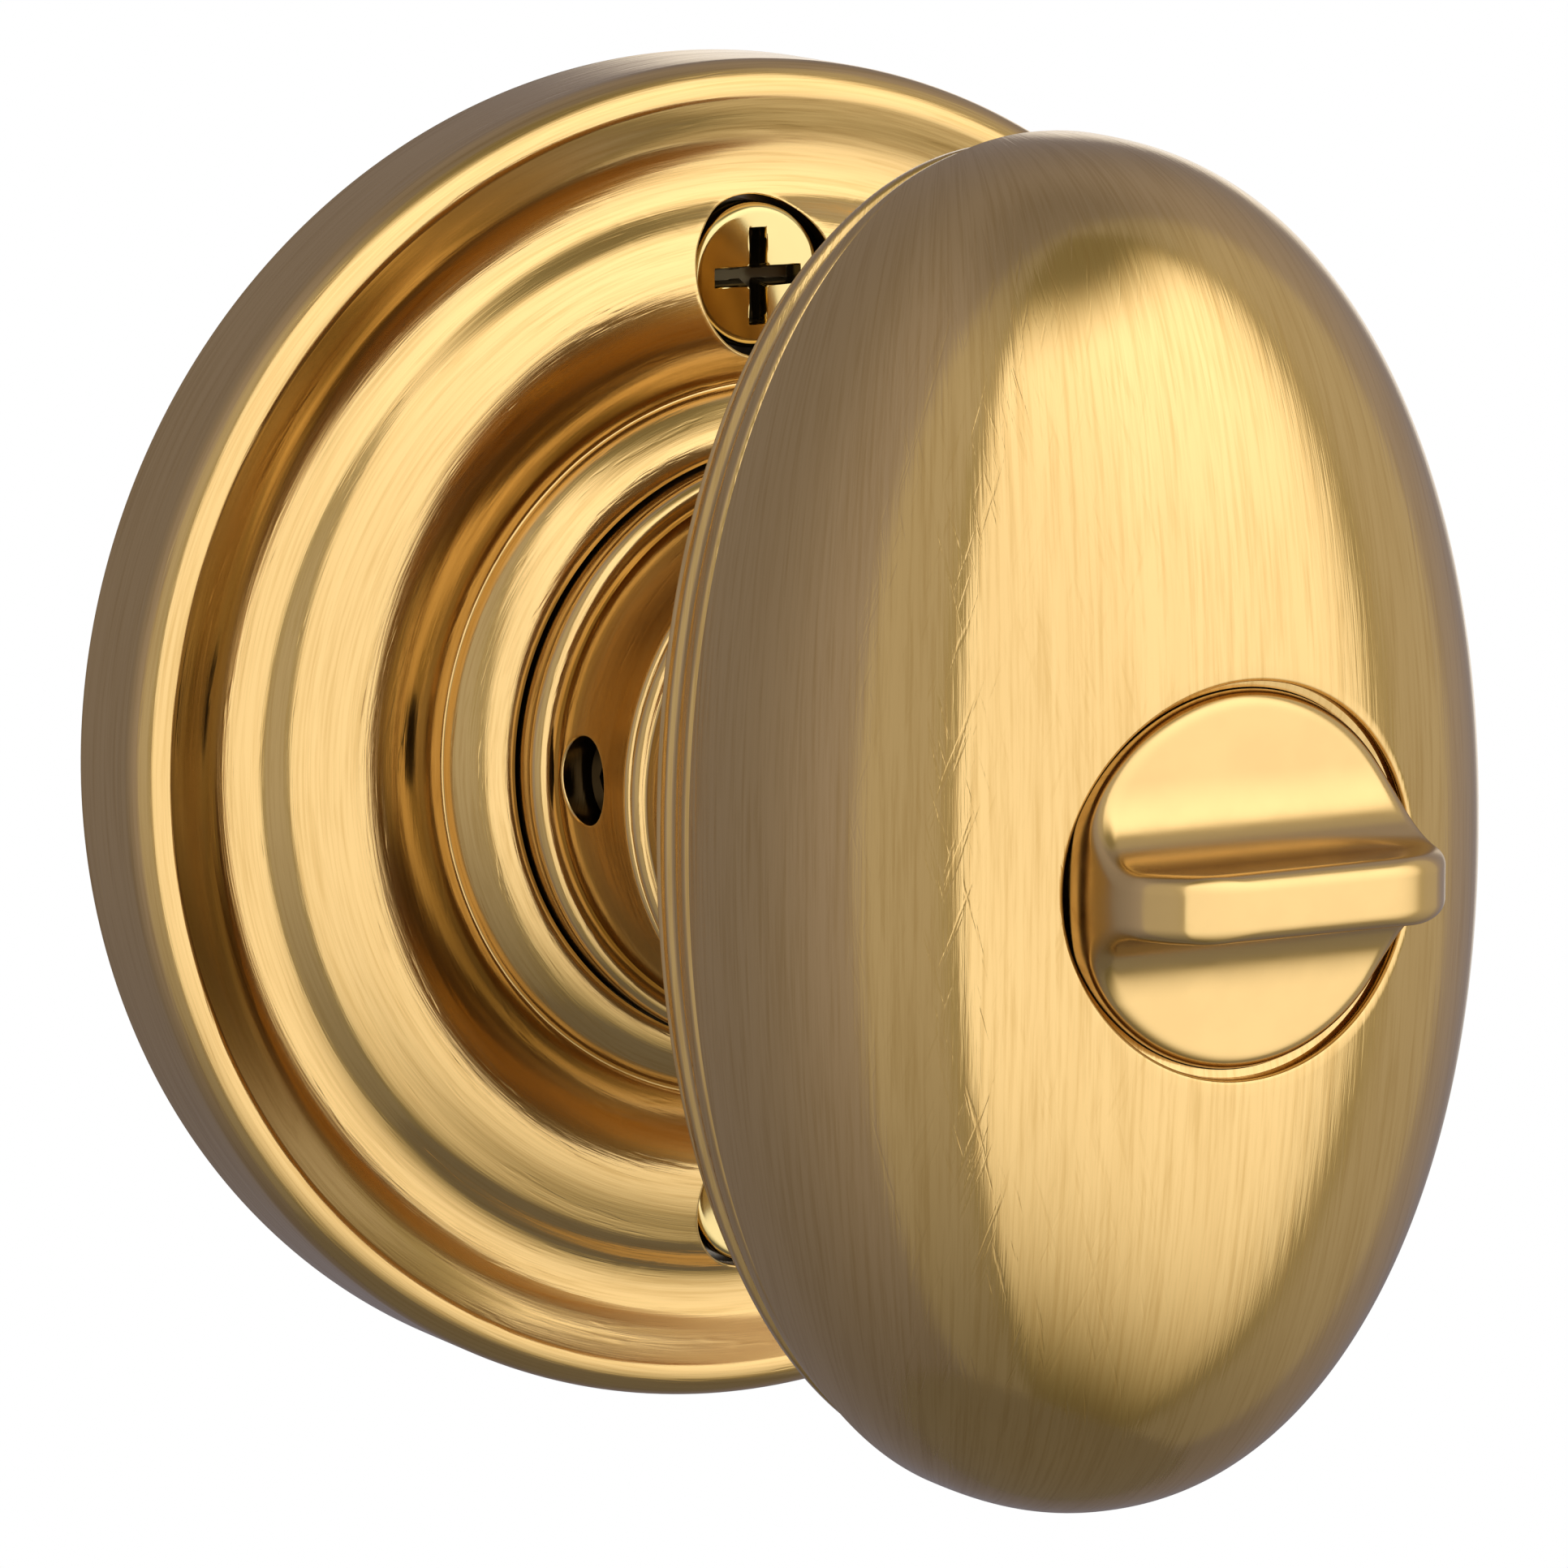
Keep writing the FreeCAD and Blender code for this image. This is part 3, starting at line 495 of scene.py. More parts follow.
def polished_screw_brass():
    """Polished brass, with painted shade that leaves it dark in the driver's recess."""
    material, g = new_material("brass_polished")
    marks = place_group(g, FINE_GRAIN, {"Grain per mm": 6.0, "Mottle per mm": 0.35})
    x, y, z = g.split(g.add("ShaderNodeTexCoord").outputs["Object"])
    off_axis = g.math("SUBTRACT", g.math("ABSOLUTE", z), SCREW_PLACE * MM)
    radius = g.math("SQRT", g.math("ADD", g.times(x, x), g.times(off_axis, off_axis)))
    # painted shade mask: inside the driver's recess, below its rim and above the head's seat
    inside = g.ramp(radius, (RECESS_LONG / 2 + 0.15) * MM, (RECESS_LONG / 2 + 0.05) * MM)
    top = HEAD_SEAT_H + HEAD_H
    height = g.times(y, -1.0)
    deep = g.times(g.ramp(height, (top - 0.42) * MM, (top - 0.75) * MM),
                  g.ramp(height, (HEAD_SEAT_H + 0.3) * MM, (HEAD_SEAT_H + 0.8) * MM))
    deeper = opaque(darker(POLISHED_BRASS, 0.96))
    shade = g.mix(g.ramp(marks["Mottle"], 0.3, 0.7), opaque(POLISHED_BRASS), deeper)
    # painted shade: the recess is painted nearly black and made rougher
    painted_recess_shade = g.times(g.times(inside, deep), 0.94)
    shade = g.mix(painted_recess_shade, shade, opaque(OXIDE_AND_SHADE_BLACK))
    gloss = g.math("ADD", g.ramp(marks["Mottle"], 0.3, 0.7, 0.07, 0.11), g.times(painted_recess_shade, 0.3))
    finish_material(g, shade, gloss, bump(g, marks["Height"], 0.0001))
    return material


ROSE_FINISH = brushed_brass("brass_brushed_round", TURNED_BRUSHING, 4.6, 1.0, 0.18, 0.009)
NECK_FINISH = brushed_brass("brass_brushed_round_fine", TURNED_BRUSHING, 5.0, 1.2, 0.17, 0.007)
KNOB_FINISH = brushed_brass("brass_brushed_upright", DRAWN_BRUSHING, 4.6, 1.0, 0.17, 0.010)
TURN_FINISH = grained_metal("brass_satin_smooth", BRASS, darker(BRASS, 0.97), 0.22, 0.0002)
SCREW_FINISH = polished_screw_brass()
CAST_FINISH = grained_metal("brass_as_cast", CAST_BRASS, darker(CAST_BRASS, 0.8), 0.42, 0.004, grain=3.0)
OXIDE_FINISH = grained_metal(
    "steel_black_oxide", OXIDE_AND_SHADE_BLACK, darker(OXIDE_AND_SHADE_BLACK, 0.7), 0.45, 0.002, grain=4.0)
ZINC_FINISH = grained_metal("steel_zinc_plated", ZINC, darker(ZINC, 0.82), 0.34, 0.002, grain=4.0)
NYLON_FINISH = grained_metal("nylon_moulded", NYLON, darker(NYLON, 0.93), 0.48, 0.003, metallic=0.0)

CARRIED_OVER = (
    (ZINC_FINISH, ("rose_liner", "spring_cup", "cup_rivets", "stop_pins", "return_spring", "drive_cam",
                   "retaining_ring", "spindle", "turn_blade", "turn_wave_washer", "turn_clip", "turn_shaft",
                   "turn_guide_cup")),
    (OXIDE_FINISH, ("neck_set_screw",)),
    (CAST_FINISH, ("knob_hub", "neck_nut", "knob_core")),
    (NYLON_FINISH, ("hub_bush", "thrust_washer", "neck_slip_ring", "turn_bush")),
)
for finish, node_names in CARRIED_OVER:
    for node_name in node_names:
        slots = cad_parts[node_name].data.materials
        slots.clear()
        slots.append(finish)


# ---- rosette -------------------------------------------------------------------------------------
ROSE_COLUMNS = 320


def rose_profile():
    """Cover's face from the neck's opening to its crest: splines for collar, swell, riser and hollow."""
    crest_r = ROSE_R - CREST_RADIUS

    def stretch(shares, inner_r, outer_r, low, high, count):
        """Spline through points given as shares of the way out and of the way up."""
        points = [(inner_r + out * (outer_r - inner_r), low + up * (high - low)) for out, up in shares]
        return spline(points, count)

    across = (COLLAR_R, crest_r, GROOVE_H, SWELL_H)
    crest_up = (CREST_H - GROOVE_H) / (SWELL_H - GROOVE_H)
    foot_up = (COLLAR_FOOT_H - GROOVE_H) / (SWELL_H - GROOVE_H)
    collar = [(0.0, 0.983), (0.051, 1.0), (0.119, 0.992), (0.220, 0.95), (0.356, 0.871), (0.508, 0.75),
              (0.661, 0.592), (0.797, 0.437), (0.898, 0.292), (0.966, 0.146), (1.0, 0.0)]
    swell = [(0.0, foot_up), (0.050, 0.80), (0.103, 0.90), (0.160, 0.97), (0.225, 1.0), (0.275, 0.99),
             (0.355, 0.925), (0.438, 0.80), (0.507, 0.65), (0.560, 0.53), (0.585, 0.45)]
    riser = [(0.585, 0.45), (0.612, 0.32), (0.640, 0.19)]
    hollow = [(0.640, 0.19), (0.671, 0.11), (0.726, 0.03), (0.781, 0.0), (0.822, 0.01), (0.877, 0.09),
              (0.945, 0.24), (1.0, crest_up)]
    parts = [stretch(collar, OPENING_R, COLLAR_R, COLLAR_FOOT_H, COLLAR_H, 160)]
    parts += [stretch(shares, *across, count) for shares, count in ((swell, 300), (riser, 60), (hollow, 200))]
    return joined(parts, 0.28)


def spaced(path, step, tight):
    """Points along a path about `step` apart, closer where it bends."""
    gaps = np.linalg.norm(np.diff(path, axis=0), axis=1)
    heading = np.unwrap(np.arctan2(*np.diff(path, axis=0).T[::-1]))
    bend = np.concatenate([[0], np.abs(np.diff(heading))])
    s = np.concatenate([[0], np.cumsum(gaps / step + bend * tight)])
    t = np.linspace(0, s[-1], int(math.ceil(s[-1])) + 1)
    return np.stack([np.interp(t, s, path[:, 0]), np.interp(t, s, path[:, 1])], 1)


def build_rose_cover():
    face = rose_profile()
    face_rows = spaced(face, 0.17, 4.0)
    rim_rows = arc((ROSE_R - CREST_RADIUS, CREST_H - CREST_RADIUS), CREST_RADIUS, 90, 0, 14)[1:]
    side_rows = straight(rim_rows[-1], (ROSE_R, 0.0), 7)[1:]
    outer = np.concatenate([face_rows, rim_rows, side_rows])
    inner_rim = arc((ROSE_R - CREST_RADIUS, CREST_H - CREST_RADIUS), CREST_RADIUS - ROSE_WALL, 90, 0, 14)[1:]
    inner_side = straight(inner_rim[-1], (ROSE_R - ROSE_WALL, 0.0), 7)[1:]
    inner = np.concatenate([face_rows - [0, ROSE_WALL], inner_rim, inner_side])

    def place(plan, depth):
        r = np.linalg.norm(plan, axis=1)
        h = np.interp(r, face[:, 0], face[:, 1]) - depth * ROSE_WALL
        return np.stack([plan[:, 0], -h, plan[:, 1]], 1)

    block = [int(np.argmin(np.abs(face_rows[:, 0] - (SCREW_PLACE + d)))) for d in (-4.95, 5.6)]
    holes = []
    for turn, sign in ((0.25, 1), (0.75, -1)):
        holes.append({"rows": block, "column": round(ROSE_COLUMNS * turn), "reach": 14,
                      "centre": (0.0, sign * SCREW_PLACE), "radius": SCREW_SEAT_R, "lip": 0.14,
                      "depth": ROSE_WALL, "loops": 14, "flatten": lambda p: p[:, [0, 2]], "place": place})
    points, faces = drilled_sheet(outer, inner, ROSE_COLUMNS, holes)
    return make_piece("rose_cover_brushed", points, faces, "rose", ROSE_FINISH, ["rose_cover"])


# ---- neck ----------------------------------------------------------------------------------------
NECK_COLUMNS = 240


def neck_profile():
    """Neck's outside from its foot to its seat under the knob: flange, waist, step, bead and flare."""
    foot, waist, base, top = NECK_FOOT_R, NECK_WAIST_R, NECK_FOOT_H, NECK_TOP_H
    flange = [straight((foot, base), (foot, base + 0.75), 10)]
    flange.append(straight((foot, base + 0.75), (foot + 0.1, base + 1.9), 16)[1:])
    flange.append(arc((foot - 0.8, base + 1.9), 0.9, 0, 105, 36)[1:])
    flange.append(straight(flange[2][-1], (waist, base + 2.7), 6)[1:])
    body = [(waist, base + 2.7), (waist, base + 5.0), (waist, base + 7.7), (waist + 0.05, base + 9.5),
            (waist + 0.1, base + 10.3)]
    step = [(waist + 0.1, base + 10.3), (waist + 0.45, base + 10.55), (waist + 0.47, base + 10.8),
            (waist, base + 11.1)]
    bead = [(waist, base + 11.1), (waist + 0.15, base + 11.4), (waist + 0.6, base + 11.65),
            (waist + 0.55, base + 11.95), (waist + 0.05, base + 12.3)]
    flare = [(waist + 0.05, base + 12.3), (waist + 0.3, base + 15.2), (NECK_TOP_R - 0.9, top - 1.9),
             (NECK_TOP_R, top)]
    beads = [spline(body, 200), spline(step, 60), spline(bead, 70), spline(flare, 200)]
    return np.concatenate(flange + [joined(beads, 0.12)[1:]])


def build_neck():
    outside = neck_profile()
    outer = spaced(outside, 0.16, 5.0)
    inner = outer.copy()
    inner[:, 0] = NECK_BORE_R
    upper = outside[outside[:, 1] > NECK_FOOT_H + 2.65]

    def place(flat, depth):
        z, h = flat[:, 0], flat[:, 1]
        r = np.interp(h, upper[:, 1], upper[:, 0])
        x_out = np.sqrt(r**2 - z**2)
        x_in = np.sqrt(NECK_BORE_R**2 - z**2)
        return np.stack([-(x_out + depth * (x_in - x_out)), -h, z], 1)

    block = [int(np.argmin(np.abs(outer[:, 1] - (KEY_HOLE_H + d)))) for d in (-2.62, 2.75)]
    hole = {"rows": block, "column": NECK_COLUMNS // 2, "reach": 8, "centre": (0.0, KEY_HOLE_H),
            "radius": KEY_HOLE_R, "lip": 0.12, "depth": NECK_WAIST_R - NECK_BORE_R, "loops": 7,
            "flatten": lambda p: np.stack([p[:, 2], -p[:, 1]], 1), "place": place}
    points, faces = drilled_sheet(outer, inner, NECK_COLUMNS, [hole])
    return make_piece("knob_neck_brushed", points, faces, "knob", NECK_FINISH, ["knob_neck"])


# ---- knob shells ---------------------------------------------------------------------------------
KNOB_COLUMNS = 400


def oval(half_width, half_height):
    """Knob's outline: |x/a|^q + |z/b|^q = 1, one point for each of the columns' angles."""
    angle = np.arange(KNOB_COLUMNS) * (2 * math.pi / KNOB_COLUMNS)
    c, s = np.cos(angle), np.sin(angle)
    size = (np.abs(c) ** OUTLINE_POWER + np.abs(s) ** OUTLINE_POWER) ** (-1 / OUTLINE_POWER)
    return np.stack([half_width * c * size, half_height * s * size], 1)


def dome_rows(half_width, half_height, depth, hole_r, count):
    """Rows of the dome from its rim to a round hole: the outline shrinks by cos^(2/p) t, as height grows by
    sin^(2/p) t, and t runs to the angle at which the shrunk outline is hole_r away from the axis."""
    outline = oval(half_width, half_height)
    share = hole_r / np.linalg.norm(outline, axis=1)
    end = np.arccos(share ** (DOME_POWER / 2))
    t = np.linspace(0, 1, count)[:, None] ** 1.35 * end
    size = np.cos(t) ** (2 / DOME_POWER)
    h = RIM_H + depth * np.sin(t) ** (2 / DOME_POWER)
    return np.stack([outline[:, 0] * size, -h, outline[:, 1] * size], -1)


def build_front_shell():
    lip = 0.24
    outer = dome_rows(KNOB_HALF_WIDTH, KNOB_HALF_HEIGHT, DOME_DEPTH, TURN_HOLE_R + lip, 110)
    wall_share = 1 - SHELL_WALL / KNOB_HALF_WIDTH
    inner = dome_rows(KNOB_HALF_WIDTH - SHELL_WALL, KNOB_HALF_HEIGHT * wall_share, DOME_DEPTH - SHELL_WALL,
                      TURN_HOLE_R, 40)
    edge = outer[-1]
    ray = edge[:, [0, 2]] / np.linalg.norm(edge[:, [0, 2]], axis=1)[:, None]
    rounds = []
    for a in np.radians([15, 30, 45, 60, 75, 90]):
        plan = ray * (TURN_HOLE_R + lip * (1 - math.sin(a)))
        rounds.append(np.stack([plan[:, 0], edge[:, 1] + lip * (1 - math.cos(a)), plan[:, 1]], 1))
    for radius, depth in ((TURN_HOLE_R, TURN_LEDGE_DEPTH), (TURN_LEDGE_R, TURN_LEDGE_DEPTH + 0.1)):
        rounds.append(np.stack([ray[:, 0] * radius, edge[:, 1] + depth, ray[:, 1] * radius], 1))
    rows = np.concatenate([outer, np.array(rounds), inner[::-1]])
    faces = [grid_faces(len(rows), KNOB_COLUMNS)]
    ids = np.arange(len(rows) * KNOB_COLUMNS).reshape(len(rows), KNOB_COLUMNS)
    faces.append(strip_faces(ids[0], ids[-1]))
    return make_piece("knob_front_brushed", rows, faces, "knob", KNOB_FINISH,
                      ["knob_front_shell"], 50.0)


def build_rear_shell():
    """Pan with three beads round its rim: each row is the oval shrunk by its inset, and the floor's rows run
    evenly from the oval to the round seat of the neck."""
    low = NECK_TOP_H
    span = RIM_H - low
    groove = STEP_DEPTH
    rim = [(0.0, 1.0), (0.0, 0.965), (groove, 0.90), (groove, 0.84), (0.10, 0.80), (0.12, 0.62),
           (0.2 + groove, 0.56), (0.2 + groove, 0.42), (0.30, 0.36), (0.34, 0.24), (0.4 + groove, 0.18),
           (0.42 + groove, 0.12), (0.62, 0.06), (0.9, 0.0)]
    a = KNOB_HALF_WIDTH - 0.2
    path = np.array([(a - inset, low + up * span) for inset, up in rim])
    legs = [straight(p, q, 12) for p, q in zip(path, path[1:])]
    rim_rows = spaced(joined(legs, 0.09, 5), 0.16, 2.5)
    stretch = KNOB_HALF_HEIGHT / KNOB_HALF_WIDTH
    outline = oval(1.0, stretch)
    rows = [np.stack([outline[:, 0] * r, np.full(KNOB_COLUMNS, -h), outline[:, 1] * r], 1)
            for r, h in rim_rows]
    angle = np.arctan2(outline[:, 1], outline[:, 0])
    seat = np.stack([np.cos(angle), np.sin(angle)], 1) * SPIGOT_R
    last = rows[-1][:, [0, 2]]

    def floor_row(share, h, edge):
        plan = edge + share * (seat - edge)
        return np.stack([plan[:, 0], np.full(KNOB_COLUMNS, -h), plan[:, 1]], 1)

    rows += [floor_row(share, low, last) for share in np.linspace(0, 1, 16)[1:]]
    inside = outline * (a - 0.9 - SHELL_WALL)
    rows += [floor_row(share, low + SHELL_WALL, inside) for share in np.linspace(1, 0, 8)]
    rows.append(np.stack([inside[:, 0], np.full(KNOB_COLUMNS, -RIM_H), inside[:, 1]], 1))
    rows = np.array(rows)
    ids = np.arange(len(rows) * KNOB_COLUMNS).reshape(len(rows), KNOB_COLUMNS)
    faces = [grid_faces(len(rows), KNOB_COLUMNS), strip_faces(ids[0], ids[-1])]
    return make_piece("knob_rear_brushed", rows, faces, "knob", KNOB_FINISH,
                      ["knob_rear_shell"], 30.0)


# ---- thumb turn ----------------------------------------------------------------------------------
EDGE_SOFT = 0.85            # rounding of the turn's outer edges
TURN_CENTRE_H = 54.0        # every point of the turn's skin is in sight from here


def circle_through(a, b, c):
    """Centre and radius of the circle through three points, where two lines of equal distance cross."""
    a, b, c = (np.asarray(p, float) for p in (a, b, c))
    centre = np.linalg.solve(2 * np.array([b - a, c - a]), [b @ b - a @ a, c @ c - a @ a])
    return centre, float(np.linalg.norm(a - centre))


def turn_depth(x, h, z):
    """How far a point is outside the turn, less than 0 inside.

    The turn is a round bar, cut by a flat top, a flat back, an arc at each end of the grip and, at each side,
    a scoop whose floor runs into the grip's wall in a quarter round. Where two of them meet, the corner of
    their distances is taken off: min(-e, greatest) + length of the parts above -e, for an edge of radius e.
    """
    round_bar = np.hypot(x, z) - TURN_R
    floor = h - TURN_FACE_H
    wall = np.abs(z) - GRIP_HALF_THICK
    hollow = SCOOP_R - np.hypot(np.maximum(SCOOP_R - floor, 0), np.maximum(SCOOP_R - wall, 0))
    scoop = np.where((floor < SCOOP_R) & (wall < SCOOP_R), hollow, np.minimum(floor, wall))
    knee = ((GRIP_HALF_LENGTH + TURN_R) / 2 + 0.48, (GRIP_SHOULDER_H + GRIP_TOP_H) / 2 + 0.36)
    centre, radius = circle_through((TURN_R, GRIP_SHOULDER_H), knee, (GRIP_HALF_LENGTH, GRIP_TOP_H))
    end = np.hypot(np.maximum(np.abs(x) - centre[0], 0), np.maximum(h - centre[1], 0)) - radius
    sides = np.stack([round_bar, scoop, h - GRIP_TOP_H, end, TURN_BACK_H - h])
    above = np.maximum(sides + EDGE_SOFT, 0)
    return np.minimum(-EDGE_SOFT, sides.max(0)) + np.sqrt((above**2).sum(0))


def build_turn_piece():
    """Skin found along rays from the turn's middle, by halving, then spaced evenly along each ray fan."""
    quarter = 115
    share = np.linspace(0, 1, quarter + 1)
    angle = (share**1.35) * math.pi / 2
    tilt = np.linspace(math.pi / 2, -math.pi / 2, 1100)[:, None]
    rise = np.sin(tilt) + 0 * angle
    run_x = np.cos(tilt) * np.cos(angle)
    run_z = np.cos(tilt) * np.sin(angle)
    near = np.zeros_like(rise)
    far = np.full_like(rise, 16.0)
    halvings = 34
    for _ in range(halvings):
        middle = (near + far) / 2
        outside = turn_depth(middle * run_x, TURN_CENTRE_H + middle * rise, middle * run_z) > 0
        far = np.where(outside, middle, far)
        near = np.where(outside, near, middle)
    reach = (near + far) / 2
    fan = np.stack([reach * run_x, TURN_CENTRE_H + reach * rise, reach * run_z], -1)
    rows = 190
    gaps = np.linalg.norm(np.diff(fan, axis=0), axis=2)
    length = np.concatenate([np.zeros((1, quarter + 1)), np.cumsum(gaps, 0)])
    even = np.stack([
        np.stack([np.interp(np.linspace(0, length[-1, j], rows), length[:, j], fan[:, j, k])
                  for k in range(3)], -1)
        for j in range(quarter + 1)], 1)
    quads = [even, even[:, -2::-1] * [-1, 1, 1], even[:, 1:] * [-1, 1, -1], even[:, -2:0:-1] * [1, 1, -1]]
    skin = np.concatenate(quads, 1)
    columns = skin.shape[1]
    points = np.stack([skin[..., 0], -skin[..., 1], skin[..., 2]], -1)
    faces = [grid_faces(rows, columns)]
    stem = np.array([(0.0, STEM_END_H), (STEM_R - 0.4, STEM_END_H), (STEM_R, STEM_END_H + 0.4),
                     (STEM_R, TURN_BACK_H + 0.4), (0.0, TURN_BACK_H + 0.4)])
    stem_points = turned_place(stem, 64)
    faces.append(grid_faces(len(stem), 64, start=rows * columns))
    points = np.concatenate([points.reshape(-1, 3), stem_points.reshape(-1, 3)])
    return make_piece("turn_piece_satin", points, faces, "turn", TURN_FINISH,
                      ["turn_piece"], 60.0)


# ---- mounting screws -----------------------------------------------------------------------------
def bunched(stops, gap, fine, coarse):
    """Coordinates from -1 to 1, `fine` apart within `gap` of each stop and `coarse` apart elsewhere."""
    t = np.linspace(-1, 1, 8001)
    near = np.min(np.abs(t[:, None] - np.asarray(stops)), axis=1) < gap
    s = np.cumsum(np.where(near, 1 / fine, 1 / coarse)) * (t[1] - t[0])
    return np.interp(np.linspace(s[0], s[-1], int(s[-1] - s[0])), s, t)


def soft_least(a, b, blend):
    """The lesser of two heights, with a rounded meeting: a dip of blend/4 where they are equal."""
    t = np.clip(0.5 + 0.5 * (b - a) / blend, 0, 1)
    return b + (a - b) * t - blend * t * (1 - t)


def head_height(x, z):
    """Pan head: a shallow crown that rolls over at its edge, and a cross recess whose walls lean outwards."""
    r = np.hypot(x, z)
    edge = np.clip((r - HEAD_R + 0.42) / 0.42, 0, 1)
    crown = HEAD_SEAT_H + HEAD_H - 0.012 * r**2 - 0.5 * (1 - np.sqrt(1 - edge**2 * 0.999))
    long, wide = RECESS_LONG / 2, RECESS_WIDE / 2
    upright = np.maximum(np.abs(x) - wide, np.abs(z) - long)
    level = np.maximum(np.abs(x) - long, np.abs(z) - wide)
    outside = soft_least(upright, level, 0.16)
    lean = 0.24
    hollow = HEAD_SEAT_H + HEAD_H - RECESS_DEEP + (outside + lean) / lean * RECESS_DEEP
    hollow = np.maximum(hollow, HEAD_SEAT_H + HEAD_H - RECESS_DEEP + 0.12 * r)
    return soft_least(crown, hollow, 0.20)


def screw_head():
    """Head's top over a square pressed into a disc: x = R u sqrt(1 - v^2/2), z = R v sqrt(1 - u^2/2)."""
    stops = [-0.66, -0.13, 0.13, 0.66]
    u = bunched(stops, 0.075, 0.011, 0.035)
    u, v = np.meshgrid(u, u)
    x = HEAD_R * u * np.sqrt(1 - v**2 / 2)
    z = HEAD_R * v * np.sqrt(1 - u**2 / 2)
    top = np.stack([x, -head_height(x, z), z], -1)
    n = u.shape[0]
    ids = np.arange(n * n).reshape(n, n)
    rim = np.concatenate([ids[0, :-1], ids[:-1, -1], ids[-1, :0:-1], ids[:0:-1, 0]])
    edge = top.reshape(-1, 3)[rim]
    points = [top.reshape(-1, 3)]
    faces = [grid_faces(n, n, closed=False)]
    before = rim
    total = n * n
    for size, h in ((1.0, HEAD_SEAT_H + 0.25), (0.97, HEAD_SEAT_H), (SHANK_R / HEAD_R, HEAD_SEAT_H),
                    (0.001, HEAD_SEAT_H)):
        points.append(np.stack([edge[:, 0] * size, np.full(len(rim), -h), edge[:, 2] * size], 1))
        here = total + np.arange(len(rim))
        faces.append(strip_faces(before, here))
        before = here
        total += len(rim)
    return np.concatenate(points), faces


def screw_shank():
    """Shank with a rolled thread, tapered at its tip.

    Its radius is R less the thread's depth times a ramp of (height / pitch + angle / full turn).
    """
    columns = 40
    depth = 0.32
    thread_top_h = HEAD_SEAT_H - 8.0
    thread_rows = int((thread_top_h - SHANK_END_H) / THREAD_PITCH * 9)
    rows = np.concatenate([np.linspace(HEAD_SEAT_H, thread_top_h, 6)[:-1],
                           np.linspace(thread_top_h, SHANK_END_H, thread_rows)])
    angle = np.arange(columns) * (2 * math.pi / columns)
    phase = rows[:, None] / THREAD_PITCH + angle / (2 * math.pi)
    ridge = np.abs((phase % 1.0) * 2 - 1)
    cut = np.clip((thread_top_h - rows) / 1.2, 0, 1)[:, None]
    tip = np.clip((rows - SHANK_END_H) / 1.2, 0, 1)[:, None] ** 0.5
    r = (SHANK_R - depth * cut * np.clip(ridge * 1.3 - 0.15, 0, 1)) * (0.72 + 0.28 * tip)
    h = rows[:, None] + 0 * angle
    skin = np.stack([r * np.cos(angle), -h, r * np.sin(angle)], -1)
    caps = [skin[:1] * [0.001, 1, 0.001], skin, skin[-1:] * [0.001, 1, 0.001]]
    skin = np.concatenate(caps)
    return skin.reshape(-1, 3), [grid_faces(len(skin), columns)]


def build_screws():
    points, faces, total = [], [], 0
    for sign in (1, -1):
        for part_points, part_faces in (screw_head(), screw_shank()):
            points.append(part_points + [0, 0, sign * SCREW_PLACE])
            faces += [np.asarray(f).reshape(-1, 4) + total for f in part_faces]
            total += len(part_points)
    return make_piece("mounting_screws_polished", np.concatenate(points), faces, "rose",
                      SCREW_FINISH, ["mounting_screws"], 40.0)


build_rose_cover()
build_neck()
build_front_shell()
build_rear_shell()
build_turn_piece()
build_screws()


# ---- studio --------------------------------------------------------------------------------------
def build_floor():
    """Round pale table top below the knob."""
    mesh = bpy.data.meshes.new("studio_floor")
    angle = np.arange(96) * (2 * math.pi / 96)
    radius, height = 0.09, -0.17
    ring = np.stack([radius * np.cos(angle), radius * np.sin(angle), np.full(96, height)], 1)
    mesh.from_pydata(ring.tolist(), [], [list(range(96))])
    floor = bpy.data.objects.new("studio_floor", mesh)
    bpy.context.scene.collection.objects.link(floor)
    material, g = new_material("pale_table")
    speck = place_group(g, FINE_GRAIN, {"Grain per mm": 0.5, "Mottle per mm": 0.02})
    shade = g.mix(g.ramp(speck["Mottle"], 0.3, 0.7), (0.90, 0.90, 0.89, 1), (0.87, 0.87, 0.86, 1))
    # painted shade: the table's colour is darkened by 72% where the metal mirrors it
    finish_material(g, painted_shade_in_mirrors(g, shade, 0.72), 0.8, None, 0.0)
    mesh.materials.append(material)


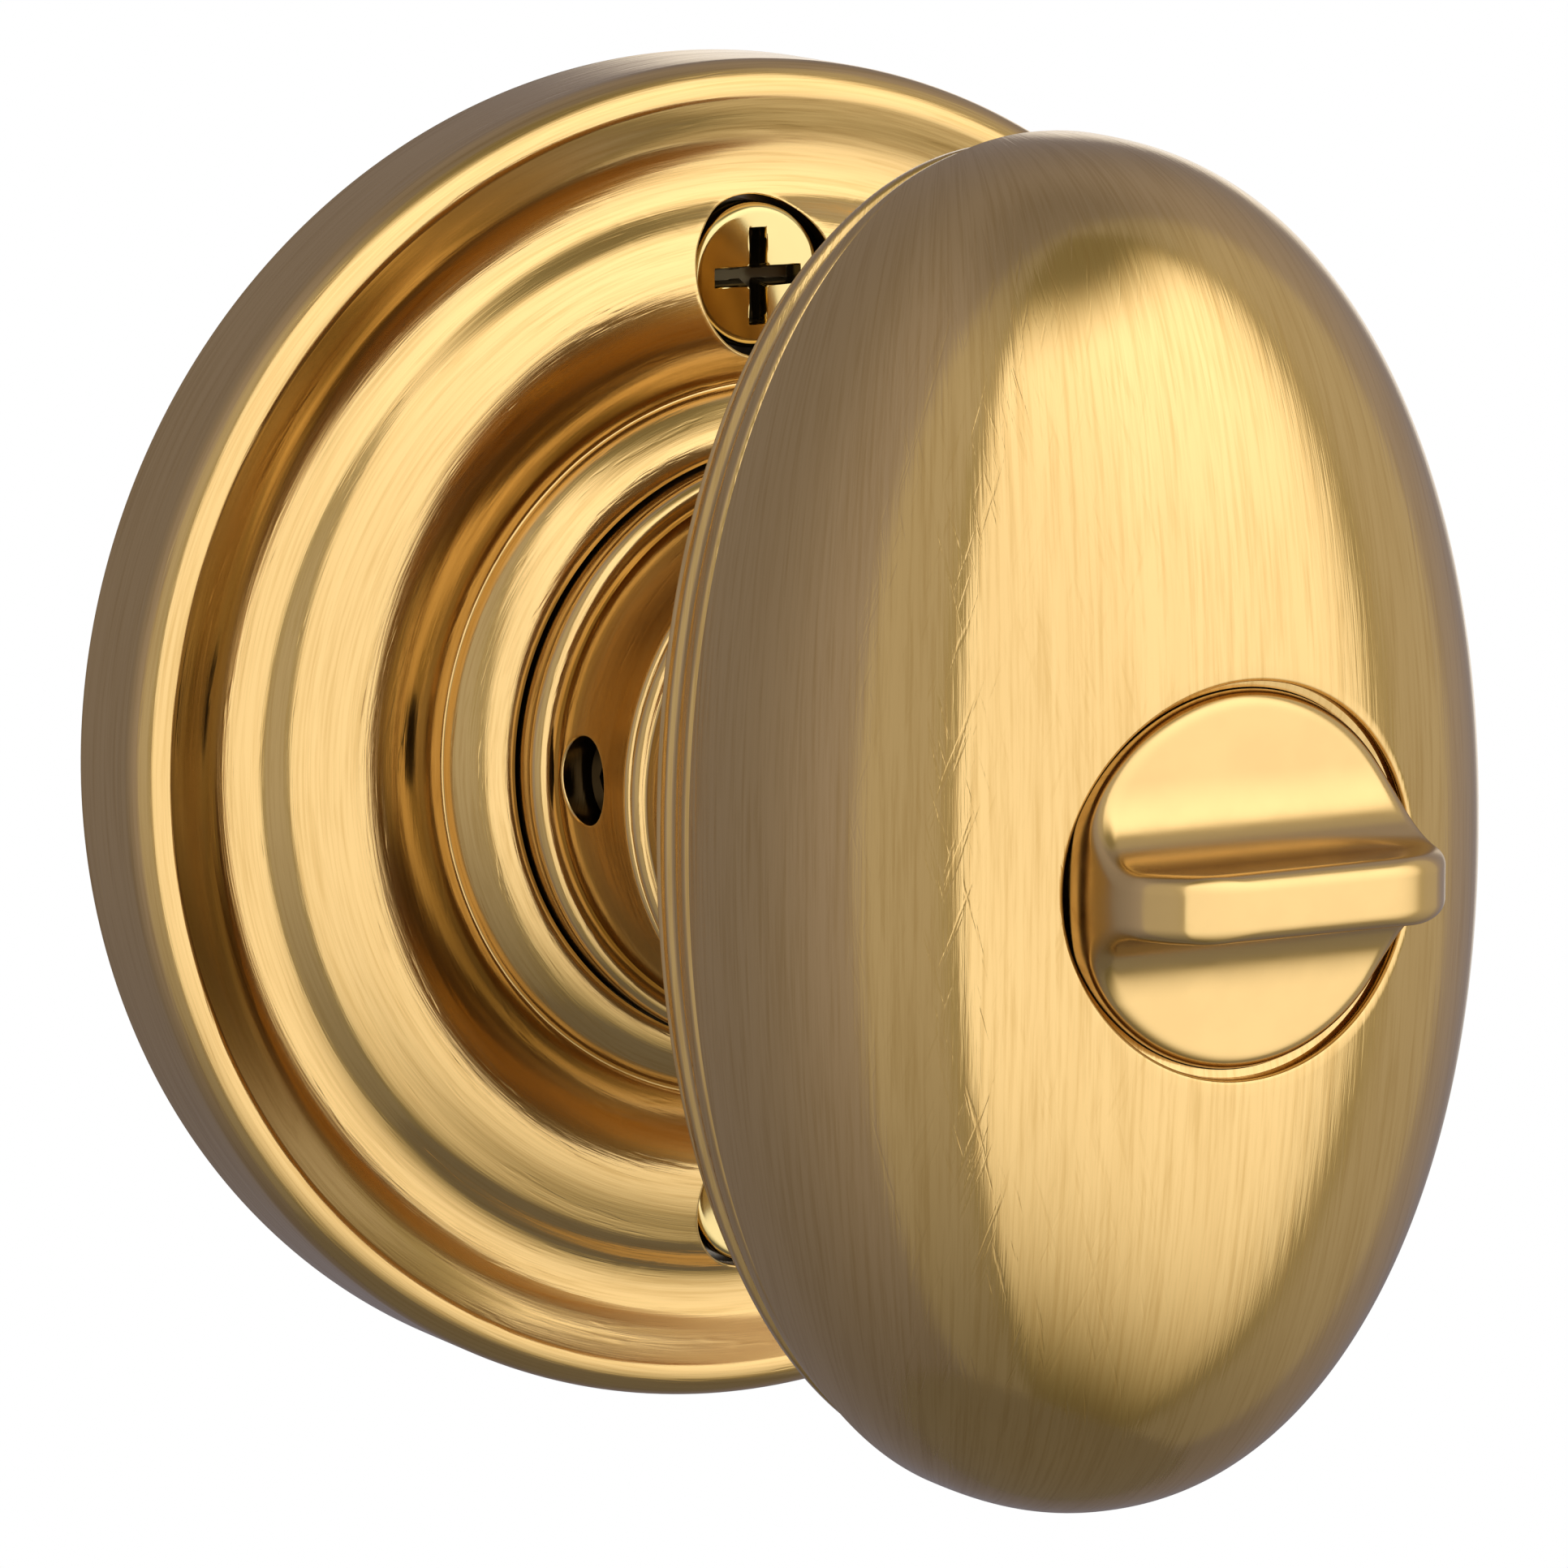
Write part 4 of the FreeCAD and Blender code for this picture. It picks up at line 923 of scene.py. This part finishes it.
def build_light():
    """Light tent: a tall soft panel in front, a dim grey surround, and white where the eye looks past it.

    The white shows to the camera and through glass everywhere, and to glossy rays only behind the knob.
    """
    world = bpy.data.worlds.new("light_tent")
    bpy.context.scene.world = world
    world.use_nodes = True
    g = Graph(world.node_tree)
    way = g.split(g.add("ShaderNodeTexCoord").outputs["Generated"])
    to_degrees = 180 / math.pi
    ahead = g.times(way[1], -1.0)
    turn = g.times(g.math("ARCTAN2", way[0], ahead), to_degrees)
    lift = g.times(g.math("ARCSINE", way[2]), to_degrees)
    left_edge = g.math("ADD", g.times(lift, -0.16), -46.0)
    right_edge = g.math("ADD", g.times(lift, 0.10), 53.0)
    from_left = g.ramp(g.math("SUBTRACT", turn, left_edge), -2.0, 2.0)
    to_right = g.math("SUBTRACT", right_edge, turn)
    from_right = g.times(g.ramp(to_right, -3.5, 3.5), g.ramp(to_right, 4.0, 12.0, 0.8, 1.0))
    from_below = g.ramp(lift, -74.0, -14.0)
    from_above = g.ramp(lift, 72.0, 46.0)
    panel = g.times(g.times(from_left, from_right), g.times(from_below, from_above))
    rising = g.math("ADD", g.times(turn, 0.5), lift)
    panel_level = g.ramp(rising, -10.0, 60.0, 1.10, 1.48)
    beyond_door = g.ramp(way[1], -0.03, 0.10)
    surround = g.math("SUBTRACT", g.ramp(way[1], 0.1, 0.95, 0.46, 0.33), g.times(beyond_door, 0.12))
    surround = g.times(surround, g.ramp(lift, -72.0, 0.0, 0.42, 1.0))
    surround = g.times(surround, g.ramp(lift, 45.0, 75.0, 1.0, 0.65))
    near_edge = g.math("MINIMUM", g.math("SUBTRACT", turn, left_edge), to_right)
    panel_frame = g.times(g.ramp(near_edge, -11.0, -4.0), g.math("SUBTRACT", 1.0, panel))
    surround = g.times(surround, g.math("SUBTRACT", 1.0, g.times(panel_frame, 0.3)))
    level = g.math("ADD", g.times(panel, g.math("SUBTRACT", panel_level, surround)), surround)
    behind = g.times(g.ramp(turn, 128.0, 140.0), g.ramp(g.math("ABSOLUTE", lift), 16.0, 8.0))
    path = g.add("ShaderNodeLightPath").outputs
    seen = g.math("ADD", path["Is Camera Ray"], g.times(path["Is Glossy Ray"], behind), clamp=True)
    seen = g.math("ADD", seen, path["Is Transmission Ray"], clamp=True)
    far_side = g.mix(beyond_door, (1.0, 0.975, 0.92, 1), (0.96, 0.93, 1.12, 1))
    far_side = g.mix(panel_frame, far_side, (1.0, 0.93, 0.62, 1))
    colour = g.mix(panel, far_side, (1.0, 0.985, 0.96, 1))
    studio = g.add("ShaderNodeBackground", {"Color": colour, "Strength": level})
    white = g.add("ShaderNodeBackground", {"Color": (1, 1, 1, 1), "Strength": 1.0})
    mixed = g.add("ShaderNodeMixShader", {0: seen, 1: studio.outputs[0], 2: white.outputs[0]})
    out = g.add("ShaderNodeOutputWorld")
    g.feed(out.inputs["Surface"], mixed.outputs[0])


def build_camera():
    """Camera to the knob's left and a little above, a long lens at half a metre."""
    back = Vector((-0.4752, -0.8642, 0.1656)).normalized()
    right = Vector((0.8763, -0.4818, 0.0)).normalized()
    up = back.cross(right)
    away, across, raised = 0.5101, 0.00498, -0.00349
    data = bpy.data.cameras.new("studio_camera")
    data.sensor_width = 36.0
    data.lens = 223.6
    data.clip_start = 0.01
    camera = bpy.data.objects.new("studio_camera", data)
    bpy.context.scene.collection.objects.link(camera)
    turn = Matrix((right, up, back)).transposed().to_4x4()
    camera.matrix_world = Matrix.Translation(back * away + right * across + up * raised) @ turn
    bpy.context.scene.camera = camera


build_floor()
build_light()
build_camera()
bpy.context.scene.view_settings.view_transform = "Standard"
